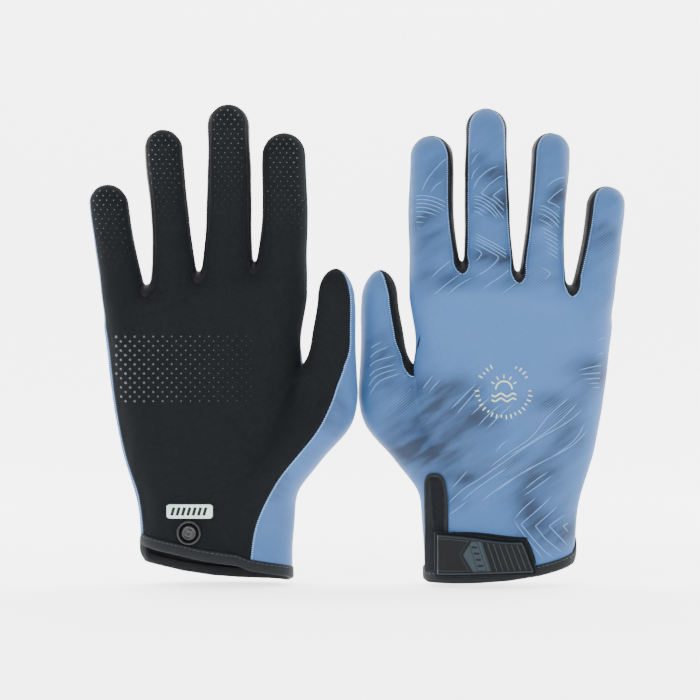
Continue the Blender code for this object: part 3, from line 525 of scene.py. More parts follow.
def weldGrids(grids):
    points, faces, count = [], [], 0
    for grid in grids:
        rows, columns = grid.shape[:2]
        points.append(grid.reshape(-1, 3))
        faces.append(gridFaces(rows, columns, count))
        count += rows * columns
    points, faces = np.concatenate(points), np.concatenate(faces)
    keys = np.round(points / weldGap).astype(np.int64)
    _, first, back = np.unique(keys, axis=0, return_index=True, return_inverse=True)
    back = back.reshape(-1)
    return points[first], back[faces]

# the plane where each digit starts to bend: a point on it and the direction the digit points in
def hingeLine(name):
    _, cx = hingeHeight(name, 0.0)
    z = hingeHeight(name, cx)[0]
    lean = math.radians(leanAngle[name])
    direction = np.array([math.sin(lean), 0.0, math.cos(lean)])
    return np.array([cx, 0.0, z]), direction

bendLength = {"little": 15.0, "ring": 16.0, "middle": 16.0, "index": 16.0, "thumb": 13.0}
bendStart = 0.9

# a piece of the hand rides its body; for a piece of a digit the two ends of its bend are worked out, and the piece
# keeps its place
def follow(obj, glove, body, nodes=()):
    if body in digits:
        at, direction = hingeLine(body)
        ends = [at + (bendStart + length) * direction for length in (0.0, bendLength[body])]
        ends = placeIn(np.stack(ends), glove)
        tuple(ends[0])
        tuple(ends[1])
        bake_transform(obj)
    else:
        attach(obj, f"glove_{glove}_{body}")
    if nodes:
        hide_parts(*[f"glove_{glove}_{n}" for n in nodes])
    return obj

# an sRGB hex colour turned into linear light
def colour(hexText):
    values = [int(hexText[k:k + 2], 16) / 255 for k in (1, 3, 5)]
    return tuple(v / 12.92 if v <= 0.04045 else ((v + 0.055) / 1.055) ** 2.4 for v in values) + (1.0,)

# one node with its settings, input values and links
def node(tree, kind, settings=None, values=None, links=None):
    made = tree.nodes.new(kind)
    for key, value in (settings or {}).items():
        setattr(made, key, value)
    for key, value in (values or {}).items():
        made.inputs[key].default_value = value
    for key, socket in (links or {}).items():
        tree.links.new(socket, made.inputs[key])
    return made

def startMaterial(name):
    material = bpy.data.materials.new(name)
    material.use_nodes = True
    tree = material.node_tree
    tree.nodes.clear()
    output = tree.nodes.new("ShaderNodeOutputMaterial")
    materials[name] = material
    return tree, output

# the glove's own millimetres, so that a pattern stays on the cloth when it bends
def restPlace(tree):
    return attribute(tree, "rest", "Vector")

def noise(tree, place, size, detail=2.0, rough=0.5):
    values = {"Scale": 1.0 / size, "Detail": detail, "Roughness": rough}
    return node(tree, "ShaderNodeTexNoise", None, values, {"Vector": place}).outputs["Fac"]

# how far a place lies along a direction
def alongAxis(tree, place, direction):
    settings = dict(operation="DOT_PRODUCT")
    return node(tree, "ShaderNodeVectorMath", settings, {1: direction}, {0: place}).outputs["Value"]

def attribute(tree, name, output="Fac"):
    return node(tree, "ShaderNodeAttribute", dict(attribute_name=name)).outputs[output]

def remap(tree, value, fromLow, fromHigh, toLow=0.0, toHigh=1.0):
    return node(tree, "ShaderNodeMapRange", dict(clamp=True),
                {"From Min": fromLow, "From Max": fromHigh, "To Min": toLow, "To Max": toHigh},
                {"Value": value}).outputs["Result"]

def math2(tree, operation, a, b):
    made = node(tree, "ShaderNodeMath", dict(operation=operation))
    for k, value in enumerate((a, b)):
        if isinstance(value, (int, float)):
            made.inputs[k].default_value = value
        else:
            tree.links.new(value, made.inputs[k])
    return made.outputs["Value"]

def mixColour(tree, share, a, b):
    made = node(tree, "ShaderNodeMix", dict(data_type="RGBA"))
    for key, value in ((0, share), (6, a), (7, b)):
        if isinstance(value, (int, float, tuple)):
            made.inputs[key].default_value = value
        else:
            tree.links.new(value, made.inputs[key])
    return made.outputs[2]

def bump(tree, height, strength, depth, before=None):
    links = {"Height": height}
    if before is not None:
        links["Normal"] = before
    values = {"Strength": strength, "Distance": depth * mm}
    return node(tree, "ShaderNodeBump", None, values, links).outputs["Normal"]

def finishMaterial(tree, output, base, rough, normal=None, sheen=0.0, sheenTint=(1, 1, 1, 1), sheenRough=0.4,
                   gloss=0.5, glow=0.0):
    values = {"Emission Color": (1, 1, 1, 1), "Emission Strength": glow, "Sheen Weight": sheen,
              "Sheen Tint": sheenTint, "Sheen Roughness": sheenRough, "Specular IOR Level": gloss}
    links = {}
    for key, value in (("Base Color", base), ("Roughness", rough)):
        if isinstance(value, (int, float, tuple)):
            values[key] = value
        else:
            links[key] = value
    if normal is not None:
        links["Normal"] = normal
    shader = node(tree, "ShaderNodeBsdfPrincipled", values=values, links=links)
    tree.links.new(shader.outputs[0], output.inputs["Surface"])

# printed stretch knit: clear blue cloth with the print's darker patches, painted shade and fine loops; sheen lights its
# rims
def stretchKnit():
    tree, output = startMaterial("stretch_knit")
    place = restPlace(tree)
    # streaks run along the print's slant: noise stretched four times that way
    turned = {"X": alongAxis(tree, place, (-0.20, 0.0, 0.14)), "Z": alongAxis(tree, place, (0.57, 0.0, 0.82))}
    streakPlace = node(tree, "ShaderNodeCombineXYZ", links=turned).outputs["Vector"]
    grain = noise(tree, streakPlace, 6.0, 2.0, 0.5)
    # this attribute darkens the blue toward #1B273B, both for the print's dark patches and for painted shade
    streaked = math2(tree, "MULTIPLY", attribute(tree, "patch_and_shade"), remap(tree, grain, 0.32, 0.64, 0.6, 1.3))
    shade = mixColour(tree, remap(tree, streaked, 0.02, 0.88), colour("#335786"), colour("#1B273B"))
    # fine light lines across the slant, a little over a millimetre apart
    slant = alongAxis(tree, place, (0.62, 0.0, 0.78))
    lines = node(tree, "ShaderNodeMath", dict(operation="PINGPONG"), {1: 0.55}, {0: slant}).outputs["Value"]
    light = math2(tree, "MULTIPLY", remap(tree, lines, 0.42, 0.12), attribute(tree, "hatch"))
    shade = mixColour(tree, math2(tree, "MULTIPLY", light, 0.35), shade, colour("#4C74A6"))
    speckle = remap(tree, noise(tree, place, 0.55, 2.0, 0.7), 0.3, 0.7, 0.90, 1.08)
    scaled = node(tree, "ShaderNodeVectorMath", dict(operation="SCALE"), links={0: shade, "Scale": speckle})
    loops = node(tree, "ShaderNodeTexVoronoi", dict(feature="F1"), {"Scale": 1.0 / 0.5}, {"Vector": place})
    fine = bump(tree, loops.outputs["Distance"], 0.4, 0.05)
    normal = bump(tree, noise(tree, place, 0.9, 3.0, 0.6), 0.35, 0.10, fine)
    finishMaterial(tree, output, scaled.outputs["Vector"], 0.62, normal, 0.30, colour("#CFE0F4"), 0.30, 0.25)

# synthetic suede: near black, dull, with a soft uneven nap
def suede():
    tree, output = startMaterial("synthetic_suede")
    place = restPlace(tree)
    nap = noise(tree, place, 1.3, 4.0, 0.7)
    tone = mixColour(tree, remap(tree, nap, 0.3, 0.7), colour("#07090B"), colour("#0E1113"))
    normal = bump(tree, nap, 0.5, 0.12, bump(tree, noise(tree, place, 0.35, 2.0, 0.6), 0.5, 0.05))
    finishMaterial(tree, output, tone, 0.88, normal, 0.03, colour("#8C97A5"), 0.5, 0.12)

# smooth side fabric between the fingers: a faint purple sheen on near black
def sideFabric():
    tree, output = startMaterial("side_fabric")
    place = restPlace(tree)
    weave = noise(tree, place, 0.5, 2.0, 0.6)
    tone = mixColour(tree, weave, colour("#07070A"), colour("#0D0C12"))
    normal = bump(tree, weave, 0.4, 0.06)
    finishMaterial(tree, output, tone, 0.55, normal, 0.04, colour("#9F9BB8"), 0.35, 0.15)

# woven elastic tape of the binding: fine ribs
def elasticTape():
    tree, output = startMaterial("elastic_tape")
    place = restPlace(tree)
    values = {"Scale": 0.55, "Distortion": 0.6}
    ribs = node(tree, "ShaderNodeTexWave", dict(bands_direction="Z"), values, {"Vector": place})
    half = math2(tree, "MULTIPLY", ribs.outputs["Fac"], 0.5)
    mixed = math2(tree, "ADD", half, noise(tree, place, 0.5, 2.0, 0.6))
    tone = mixColour(tree, remap(tree, mixed, 0.2, 1.2), colour("#070809"), colour("#131619"))
    finishMaterial(tree, output, tone, 0.7, bump(tree, mixed, 0.6, 0.12), 0.04, colour("#8C97A5"), 0.5, 0.2)

# brushed loop fabric: deep black with a rough fuzz
def fleece():
    tree, output = startMaterial("brushed_fleece")
    place = restPlace(tree)
    fuzz = noise(tree, place, 0.7, 5.0, 0.8)
    tone = mixColour(tree, remap(tree, fuzz, 0.3, 0.7), colour("#060708"), colour("#131518"))
    finishMaterial(tree, output, tone, 0.95, bump(tree, fuzz, 0.9, 0.35), 0.07, colour("#8C97A5"), 0.6, 0.15)

# inside of the cloth: dull and dark
def liningCloth():
    tree, output = startMaterial("lining_cloth")
    weave = noise(tree, restPlace(tree), 0.8, 3.0, 0.6)
    tone = mixColour(tree, weave, colour("#08090B"), colour("#101216"))
    finishMaterial(tree, output, tone, 0.9, bump(tree, weave, 0.5, 0.08), 0.05, (1, 1, 1, 1), 0.5, 0.2)

# moulded satin rubber; the tone attribute lifts its plate and frame lines to a lighter grey and paints highlights on
# its rim and rib lines
def rubber():
    tree, output = startMaterial("moulded_rubber")
    shade = mixColour(tree, attribute(tree, "tone"), colour("#050708"), colour("#2A343B"))
    grain = noise(tree, restPlace(tree), 0.3, 2.0, 0.5)
    rough = remap(tree, grain, 0.3, 0.7, 0.52, 0.64)
    finishMaterial(tree, output, shade, rough, bump(tree, grain, 0.2, 0.03), gloss=0.16)

def plain(name, hexText, rough, gloss=0.5, sheen=0.0, glow=0.0):
    tree, output = startMaterial(name)
    finishMaterial(tree, output, colour(hexText), rough, None, sheen, (1, 1, 1, 1), 0.4, gloss, glow)

stretchKnit()
suede()
sideFabric()
elasticTape()
fleece()
liningCloth()
rubber()
plain("light_thread", "#7BA3D3", 0.6, 0.4, 0.15)    # twisted polyester of the overlock seams
plain("dark_thread", "#1D2227", 0.55, 0.4, 0.05)    # stitch line on the tape
plain("mint_film", "#B3CFC5", 0.5, 0.3)             # matt transfer film of the label
plain("label_ink", "#0A0C0E", 0.6, 0.2)             # dark shapes on the label
plain("emblem_film", "#A9B896", 0.5, 0.3)           # pale transfer on the back
plain("print_ink", "#527AAB", 0.62, 0.25, 0.25)     # lighter blue lines printed in the cloth
plain("satin_snap", "#0C0E10", 0.34, 0.45)          # moulded press stud
plain("grip_silicone", "#34393C", 0.3, 0.5)         # domed grip dots
plain("clear_silicone", "#14171A", 0.22, 0.6)       # the thinner dots on the fingers
print("materials", len(materials))

rowCounts = dict(hand=58, knuckle=36, crotch=16, finger=58, dome=18)
faceColumns = 18
sideColumns = 14

# columns crowd toward the seams, where the cloth dips
def spaced(a, b, columns):
    t = np.linspace(0, 1, columns + 1)
    return a + (b - a) * (0.45 * t + 0.55 * (0.5 - 0.5 * np.cos(math.pi * t)))

# side columns in two halves, so that a seam can also run along the middle of a side
def spacedSide(a):
    lower, upper = spaced(a, a + 0.5, sideColumns // 2), spaced(a + 0.5, a + 1, sideColumns // 2)
    return np.concatenate([lower, upper[1:]])

waistRow = rowCounts["hand"] - 1
sheets = {}
for name in digits:
    rails = digitRails(name, rowCounts)
    columns = dict(back=spaced(0, 1, faceColumns), right=spacedSide(1), palm=spaced(2, 3, faceColumns),
                   left=spacedSide(3))
    sheets[name] = {}
    for face, q in columns.items():
        origin, direction = section(rails, q, rowCounts)
        sheets[name][face] = cast(origin, direction)
print("cloth cast", sum(g.size // 3 for s in sheets.values() for g in s.values()), "points")

def forkRow(name):
    return waistRow + (0 if name == "thumb" else rowCounts["knuckle"])

def hingeRow(name):
    return forkRow(name) + rowCounts["crotch"]

half = sideColumns // 2

# seams as (digit, face, column, first row, last row, does light thread show, where the blue cloth
# lies: the next column, the one before, or -2 for the back's own edge)
seams = []
for name in digits:
    fork = forkRow(name)
    if name != "thumb" and name != "index":
        seams.append((name, "back", -1, fork, None, True, -1))
        seams.append((name, "palm", 0, fork, None, False, 0))
    if name in ("ring", "middle", "index"):
        seams.append((name, "back", 0, fork, None, True, 1))
        seams.append((name, "palm", -1, fork, None, False, 0))
seams.append(("little", "left", 0, 0, None, True, 1))
seams.append(("index", "right", half, waistRow, None, True, -1))
seams.append(("thumb", "right", -1, 0, None, True, -1))
seams.append(("thumb", "left", -1, waistRow, None, True, -2))
seamLines = {name: [] for name in digits}
for name, face, column, first, last, _, _ in seams:
    seamLines[name].append(denser(sheets[name][face][first:last, column]))
seamCloud = {}
for i, name in enumerate(digits):
    near = digits[max(0, i - 1):i + 2]
    seamCloud[name] = np.concatenate([line for n in near for line in seamLines[n]])
allSeams = np.concatenate([line for lines in seamLines.values() for line in lines])

# the cloth: every point is moved along the solid's normal by its relief
normals, cloth, seamGaps = {}, {}, {}
for name in digits:
    normals[name], cloth[name], seamGaps[name] = {}, {}, {}
    for face, grid in sheets[name].items():
        normals[name][face] = outward(grid)
        seamGaps[name][face] = nearest(grid, seamCloud[name])
        cloth[name][face] = grid + relief(grid, seamGaps[name][face])[..., None] * normals[name][face]

# lighter lines printed on the back, (x, z) in millimetres, by the part they lie on
strokes = {
    "index": [
        [(42.3, 192.5), (39.3, 199.2), (34.8, 205.1), (30.3, 209.6), (26.2, 211.9)],
        [(37.8, 192.5), (35.2, 196.2), (30.7, 199.2)],
        [(46.8, 190.6), (43.0, 191.5), (39.3, 191.3), (34.8, 190.2), (29.2, 187.8)],
        [(46.8, 188.9), (43.0, 189.6), (39.3, 189.3), (34.8, 188.1), (29.2, 185.4)],
        [(46.9, 186.9), (43.0, 187.7), (38.5, 187.1), (34.1, 185.7), (30.0, 183.6)],
        [(47.1, 185.0), (43.0, 185.7), (38.5, 185.1), (32.6, 182.8)],
        [(47.1, 182.8), (43.0, 183.6), (38.5, 182.9), (34.1, 181.3)],
        [(47.1, 180.4), (43.8, 181.1), (39.3, 180.4)],
        [(47.1, 177.7), (44.1, 178.4), (40.8, 177.9)],
        [(47.1, 174.9), (44.5, 175.5), (42.3, 175.1)],
    ],
    "middle": [
        [(17.8, 211.9), (16.3, 213.9), (14.5, 215.6)],
        [(17.5, 205.9), (14.7, 211.1), (12.3, 213.2)],
        [(17.3, 198.4), (15.6, 203.3), (13.0, 205.9)],
        [(3.3, 206.6), (8.7, 204.2), (13.8, 199.5), (16.5, 193.9)],
        [(-1.4, 202.8), (3.5, 200.7), (8.5, 196.9), (12.4, 192.6), (5.7, 188.6), (1.2, 184.2), (-1.6, 180.4)],
        [(-1.4, 196.8), (2.7, 194.5), (6.5, 191.5), (2.0, 187.8), (-1.4, 184.1)],
        [(-1.6, 190.1), (-0.1, 188.9), (-1.6, 187.1)],
        [(17.1, 191.6), (12.4, 190.5), (7.2, 187.1), (2.7, 182.0), (-1.8, 176.6)],
        [(17.1, 190.1), (12.4, 188.7), (7.2, 185.0), (2.7, 179.6)],
        [(17.1, 188.3), (12.4, 186.8), (7.9, 183.6), (4.2, 179.6)],
        [(17.1, 186.3), (13.2, 185.0), (9.4, 182.2)],
        [(17.1, 184.2), (13.5, 182.8), (10.6, 180.4)],
        [(16.2, 172.9), (5.7, 167.4), (-4.7, 161.4)],
        [(16.2, 171.4), (5.7, 165.7), (-5.1, 159.5)],
        [(16.2, 169.9), (10.2, 166.8), (2.7, 162.2), (-3.4, 158.4),
         (-3.8, 156.9), (-1.0, 154.2), (5.7, 149.0)],
        [(16.2, 168.0), (10.2, 164.7), (4.5, 161.4), (4.2, 160.1),
         (5.7, 158.0), (10.2, 154.1), (15.4, 151.1)],
        [(16.2, 165.7), (12.9, 163.6), (12.2, 162.5), (13.9, 160.0), (16.2, 158.4)],
    ],
    "ring": [
        [(-33.3, 201.4), (-27.9, 200.6), (-23.4, 198.7), (-20.0, 195.3)],
        [(-32.7, 197.2), (-28.6, 195.4), (-24.1, 192.0), (-20.6, 188.5),
         (-24.1, 187.1), (-27.9, 184.6), (-31.2, 180.8)],
        [(-32.4, 189.0), (-30.1, 188.3), (-28.0, 186.8), (-30.1, 184.5), (-31.6, 181.9)],
        [(-15.9, 186.9), (-19.7, 185.7), (-25.6, 181.7), (-30.9, 176.0)],
        [(-15.9, 185.0), (-19.7, 183.8), (-24.9, 180.1), (-30.1, 173.8)],
        [(-15.9, 182.8), (-19.7, 181.4), (-24.1, 178.1), (-28.6, 173.2)],
        [(-15.9, 179.8), (-19.7, 178.1), (-23.4, 175.3)],
        [(-16.7, 176.0), (-24.1, 172.2), (-31.3, 167.8)],
        [(-17.4, 173.8), (-24.1, 170.2), (-31.3, 165.6)],
        [(-18.2, 171.4), (-24.1, 168.0), (-31.3, 163.4)],
        [(-18.9, 168.7), (-24.1, 165.7), (-31.3, 161.0)],
        [(-19.7, 166.2), (-24.9, 163.1), (-30.9, 158.7)],
        [(-19.7, 163.6), (-24.9, 160.7), (-30.1, 156.8)],
    ],
    "hand": [
        [(37.8, 150.1), (32.6, 155.1), (26.5, 160.0)],
        [(36.3, 141.9), (29.6, 147.5), (22.7, 152.5)],
        [(29.6, 141.9), (23.6, 146.9), (16.8, 150.8)],
        [(2.7, 142.3), (-4.7, 147.7), (-12.2, 153.6)],
        [(12.4, 144.7), (7.2, 148.4), (1.2, 152.2)],
        [(-16.7, 155.9), (-19.7, 154.4), (-21.9, 152.5), (-18.2, 149.2)],
        [(42.5, 94.5), (39.0, 98.8), (36.0, 102.7)],
        [(38.8, 93.6), (35.6, 97.1), (32.5, 100.3)],
        [(49.0, 93.6), (45.5, 97.9), (43.6, 101.8)],
        [(27.8, 85.4), (21.3, 92.1), (15.0, 98.4)],
        [(25.2, 82.8), (18.7, 90.4), (12.4, 97.5)],
        [(17.8, 82.6), (13.0, 87.1), (8.3, 91.6)],
        [(14.3, 77.4), (8.7, 83.2), (2.9, 88.1)],
        [(9.8, 76.0), (3.1, 82.8), (-3.2, 88.7)],
        [(5.7, 64.4), (2.6, 68.0), (-0.6, 70.6)],
        [(27.5, 46.2), (23.0, 51.1), (19.4, 55.2)],
        [(29.1, 39.0), (21.3, 46.2), (12.6, 51.7), (-3.0, 62.7), (-16.0, 71.2), (-29.0, 78.6), (-37.7, 85.4)],
        [(23.0, 39.6), (16.1, 45.5), (9.1, 50.5), (-0.4, 56.8)],
        [(12.6, 40.1), (-0.4, 49.7), (-16.9, 59.2), (-31.6, 67.2), (-40.3, 75.0)],
        [(5.7, 44.8), (-7.3, 54.0), (-24.7, 63.5), (-34.2, 71.2), (-38.7, 78.3)],
        [(8.3, 56.9), (-0.4, 63.7), (-11.7, 71.5), (-20.3, 81.9), (-30.7, 91.4)],
        [(-1.3, 62.8), (-12.5, 69.6), (-25.5, 79.3), (-35.1, 88.7)],
        [(29.1, 32.9), (24.7, 36.2), (19.5, 40.3)],
        [(29.1, 32.9), (26.3, 31.0)],
        [(-22.9, 53.1), (-16.9, 48.8), (-8.2, 42.7)],
        [(-20.8, 54.9), (-14.3, 50.5), (-8.2, 45.5)],
        [(-14.3, 41.9), (-7.8, 36.2), (-3.2, 30.8)],
        [(-22.1, 42.4), (-15.1, 35.8), (-6.9, 28.9), (-12.5, 21.9), (-18.6, 15.4), (-23.1, 12.1)],
        [(-25.5, 37.7), (-20.3, 33.2), (-14.0, 27.9), (-18.6, 21.9), (-24.7, 16.7), (-28.1, 14.1)],
        [(-29.2, 33.4), (-25.5, 31.0), (-20.9, 27.9), (-24.7, 23.7), (-30.9, 17.6)],
        [(-32.5, 29.5), (-28.1, 27.7), (-31.6, 23.8)],
        [(-3.4, 30.8), (-8.2, 23.8), (-15.1, 15.2), (-17.7, 11.7)],
        [(-35.1, 104.8), (-44.6, 106.9), (-52.2, 107.7)],
        [(-35.9, 102.7), (-44.6, 103.4), (-53.2, 103.4)],
        [(-37.7, 100.3), (-45.5, 100.8), (-53.1, 100.4)],
        [(-40.3, 98.2), (-46.3, 98.4), (-52.4, 97.9)],
        [(-42.0, 95.9), (-47.2, 96.3), (-51.9, 95.6)],
        [(-44.6, 119.0), (-47.2, 120.4), (-49.8, 121.6)],
        [(-44.6, 112.1), (-48.1, 113.6), (-51.7, 114.8)],
    ],
    "thumb": [
        [(69.8, 112.2), (66.3, 116.2), (61.1, 119.2)],
        [(69.8, 106.9), (65.6, 112.8), (57.7, 116.9)],
        [(70.2, 101.8), (65.6, 108.6), (54.5, 112.2)],
        [(69.8, 98.4), (65.3, 104.3), (54.5, 107.9)],
        [(69.6, 94.7), (64.4, 101.7), (54.2, 105.5)],
        [(68.4, 91.4), (62.9, 99.1), (52.3, 103.2)],
    ],
}
# dark patches of the print and painted shade: (x, z, half width, half height, strength); the tall narrow disc at (41.5,
# 158.9) is a painted shadow along the index's edge, and the large soft discs from (30, 62) on are broad painted shade
darkPatchesAndShade = [
    (32.6, 202.2, 6.7, 10.4, 0.5), (43.0, 181.3, 7.5, 6.7, 0.4), (36.3, 171.6, 6.7, 7.5, 0.35),
    (28.8, 149.9, 9.0, 4.5, 0.65), (5.7, 202.2, 8.2, 5.2, 0.75), (2.7, 191.7, 6.0, 4.5, 0.7),
    (12.4, 187.2, 6.0, 4.5, 0.4), (2.7, 184.2, 5.2, 4.5, 0.5), (11.7, 161.9, 6.0, 4.1, 0.65),
    (-0.3, 159.6, 6.0, 3.7, 0.7), (-1.8, 149.9, 7.5, 4.1, 0.5), (15.4, 228.3, 6.7, 4.5, 0.25),
    (-26.4, 191.7, 6.7, 6.0, 0.75), (-19.7, 179.8, 6.7, 3.0, 0.75), (-27.1, 173.8, 6.0, 5.2, 0.5),
    (-21.9, 149.2, 7.5, 3.0, 0.4), (-48.8, 173.8, 6.0, 4.5, 0.65), (-48.8, 166.3, 6.7, 4.5, 0.35),
    (41.5, 158.9, 4.5, 17.2, 0.3), (-54.7, 147.7, 4.5, 11.2, 0.2), (13.2, 211.1, 4.5, 3.0, 0.4),
    (38.6, 78.4, 16.5, 15.6, 0.85), (33.4, 94.9, 7.8, 5.2, 0.5), (63.7, 114.0, 7.8, 7.8, 0.45),
    (43.8, 63.7, 13.9, 6.1, 0.65), (-23.8, 88.8, 8.2, 4.3, 0.65), (-31.6, 81.9, 6.1, 8.7, 0.55),
    (-28.1, 71.5, 7.8, 6.1, 0.45), (-3.0, 57.6, 14.7, 4.2, 0.65), (-16.0, 51.6, 7.8, 6.9, 0.65),
    (21.3, 51.6, 6.1, 3.1, 0.6), (-9.9, 36.8, 6.1, 6.9, 0.75), (-22.9, 25.6, 10.4, 6.1, 0.8),
    (15.2, 82.8, 6.9, 5.2, 0.5), (-40.3, 106.2, 8.7, 5.2, 0.65), (-46.3, 100.1, 6.9, 4.3, 0.45),
    (19.5, 95.8, 6.1, 4.3, 0.45), (7.4, 77.6, 5.2, 3.5, 0.4), (23.9, 40.3, 5.2, 3.5, 0.5),
    (-37.7, 94.9, 5.2, 5.2, 0.35), (57.7, 97.5, 6.9, 7.8, 0.35), (30.0, 62.0, 26.0, 22.0, 0.24),
    (-20.0, 50.0, 18.0, 26.0, 0.22), (38.0, 176.0, 7.0, 20.0, 0.20), (6.0, 180.0, 8.0, 24.0, 0.16),
    (-24.0, 182.0, 8.0, 18.0, 0.18), (-48.0, 148.0, 8.0, 22.0, 0.20), (60.0, 108.0, 9.0, 20.0, 0.18),
]

patchAndShadeSpread = 1.3

# how dark the print's patches and the painted shade make each point of the back: soft discs added up; round the sides
#  a slow pattern of waves takes over
def patchAndShadeAt(points):
    x, y, z = points[..., 0], points[..., 1], points[..., 2]
    total = np.zeros(x.shape)
    for a, b, wide, high, strength in darkPatchesAndShade:
        disc = np.exp(-((x - a) / (patchAndShadeSpread * wide)) ** 2 - ((z - b) / (patchAndShadeSpread * high)) ** 2)
        total = total + strength * disc * (1 - total)
    around = 0.45 * smooth((np.sin(x * 0.11 + 1.3) * np.sin(z * 0.07 + x * 0.03) - 0.25) / 0.6)
    # the fingers are made a little darker than the hand
    total = np.maximum(total, 0.22 * smooth((z - 140) / 20))
    return np.where(y > -2, total, np.maximum(around, 0.15))

# patches of fine slanting lines: (x, z, half width, half height)
hatches = [
    (-52.0, 160.0, 8.0, 24.0), (-22.0, 172.0, 8.0, 12.0), (-14.0, 146.0, 18.0, 8.0),
    (-30.0, 140.0, 16.0, 8.0), (-49.0, 132.0, 8.0, 14.0), (-3.0, 57.0, 18.0, 5.0),
    (-27.0, 84.0, 12.0, 12.0), (52.0, 88.0, 12.0, 8.0),
]

def hatchAt(points):
    x, y, z = points[..., 0], points[..., 1], points[..., 2]
    total = np.zeros(x.shape)
    for a, b, wide, high in hatches:
        total = np.maximum(total, np.exp(-((x - a) / wide) ** 2 - ((z - b) / high) ** 2))
    return np.where(y > 0, total, 0.0)

# cloth pieces by name: grids, body, slot, material, the CAD nodes they stand for
handBack, handPalm, webs, pieces = [], [], {}, []
for i, name in enumerate(digits):
    c = cloth[name]
    fork, hinge = forkRow(name), hingeRow(name)
    handBack.append(c["back"][:hinge + 1])
    handPalm.append(c["palm"][:hinge + 1])
    ownBack, ownPalm = [c["back"][hinge:]], [c["palm"][hinge:]]
    if name == "little":
        handBack.append(c["left"][:hinge + 1])
        ownBack.append(c["left"][hinge:])
    if name == "thumb":
        handBack.append(c["right"][:hinge + 1])
        ownBack.append(c["right"][hinge:])
        handPalm.append(c["left"][fork:hinge + 1])
        ownPalm.append(c["left"][hinge:])
    if name == "index":
        handBack.append(c["right"][waistRow:hinge + 1, :half + 1])
        ownBack.append(c["right"][hinge:, :half + 1])
        handPalm.append(c["right"][waistRow:hinge + 1, half:])
        ownPalm.append(c["right"][hinge:, half:])
    if name in ("little", "ring", "middle"):
        webs.setdefault(name, []).append(c["right"][fork:hinge + 1])
        pieces.append((f"{name}_side_radial", [c["right"][hinge:]], name, "black_side", "side_fabric"))
    if name in ("ring", "middle", "index"):
        webs.setdefault(digits[i - 1], []).append(c["left"][fork:hinge + 1])
        pieces.append((f"{name}_side_ulnar", [c["left"][hinge:]], name, "black_side", "side_fabric"))
    pieces.append((f"{name}_back", ownBack, name, "blue_fabric", "stretch_knit"))
    pieces.append((f"{name}_palm", ownPalm, name, "black_suede", "synthetic_suede"))
pieces.append(("back_panel", handBack, "hand", "blue_fabric", "stretch_knit"))
pieces.append(("palm_panel", handPalm, "hand", "black_suede", "synthetic_suede"))
for before, grids in webs.items():
    after = digits[digits.index(before) + 1]
    pieces.append((f"web_{before}_{after}", grids, "hand", "black_side", "side_fabric"))

# turn faces so that they look out of the solid
def faceOut(points, faces):
    corners = points[faces]
    facing = np.cross(corners[:, 2] - corners[:, 0], corners[:, 3] - corners[:, 1])
    if (outward(corners.mean(1)) * facing).sum() < 0:
        faces = faces[:, ::-1]
    return faces

# one piece on both gloves: the same points, each copy handed to follow() with its body and the CAD parts it stands for
def addToBoth(name, points, faces, material, body, nodes=(), values=None):
    for glove in gloves:
        obj = makeObject(f"{glove}_{name}", points, faces, glove, material, values)
        follow(obj, glove, body, nodes)

for name, grids, body, slot, material in pieces:
    points, faces = weldGrids(grids)
    faces = faceOut(points, faces)
    values = dict(patch_and_shade=patchAndShadeAt(points), hatch=hatchAt(points)) if material == "stretch_knit" else None
    addToBoth(name, points, faces, material, body, [name], values)
print("cloth pieces", len(pieces))

# the inside of the cuff: the same cloth set in, facing the hand
lining = dict(inset=1.0, rows=26, every=2)
inner = []
for name in digits:
    for face in ["back", "palm"] + {"little": ["left"], "thumb": ["right"]}.get(name, []):
        grid = cloth[name][face] - lining["inset"] * normals[name][face]
        inner.append(grid[:lining["rows"]:lining["every"]])
points, faces = weldGrids(inner)
faces = faceOut(points, faces)[:, ::-1]
addToBoth("cuff_lining", points, faces, "lining_cloth", "hand")

# a capsule along X, unit length, six sides
def capsule():
    at = np.array([-0.5, -0.36, 0.36, 0.5])
    radius = np.array([0.35, 1.0, 1.0, 0.35])
    turn = np.arange(6) * math.pi / 3
    rings = [np.stack([x + 0 * turn, r * np.cos(turn), r * np.sin(turn)], -1) for x, r in zip(at, radius)]
    faces = []
    for k in range(3):
        for j in range(6):
            faces.append((k * 6 + j, k * 6 + (j + 1) % 6, (k + 1) * 6 + (j + 1) % 6, (k + 1) * 6 + j))
    for base in (0, 18):
        ends = [(base, base + 1, base + 2, base + 3), (base, base + 3, base + 4, base + 5)]
        faces += ends if base else [e[::-1] for e in ends]
    return np.concatenate(rings), np.array(faces)

# copies of a template: each has a place, a long axis, an outward normal and its sizes
def scatter(template, faces, places, long, normal, sizes):
    long = long - (long * normal).sum(-1, keepdims=True) * normal
    long /= np.linalg.norm(long, axis=-1, keepdims=True)
    across = np.cross(normal, long)
    x, y, z = [template[None, :, k, None] * sizes[:, k, None, None] for k in range(3)]
    points = places[:, None] + x * long[:, None] + y * across[:, None] + z * normal[:, None]
    shifted = faces[None] + (np.arange(len(places)) * len(template))[:, None, None]
    return points.reshape(-1, 3), shifted.reshape(-1, faces.shape[1])

# length run along a line at each of its points
def runAlong(line):
    return np.concatenate([[0], np.cumsum(np.linalg.norm(np.diff(line, axis=0), axis=1))])

# even steps along a line: how far each step is, and how to pick values there
def evenly(line, pitch):
    run = runAlong(line)
    at = np.arange(pitch / 2, run[-1], pitch)
    def pick(values):
        return np.stack([np.interp(at, run, values[:, k]) for k in range(values.shape[1])], -1)
    return at, pick

def unit(vectors):
    return vectors / (np.linalg.norm(vectors, axis=-1, keepdims=True) + 1e-9)

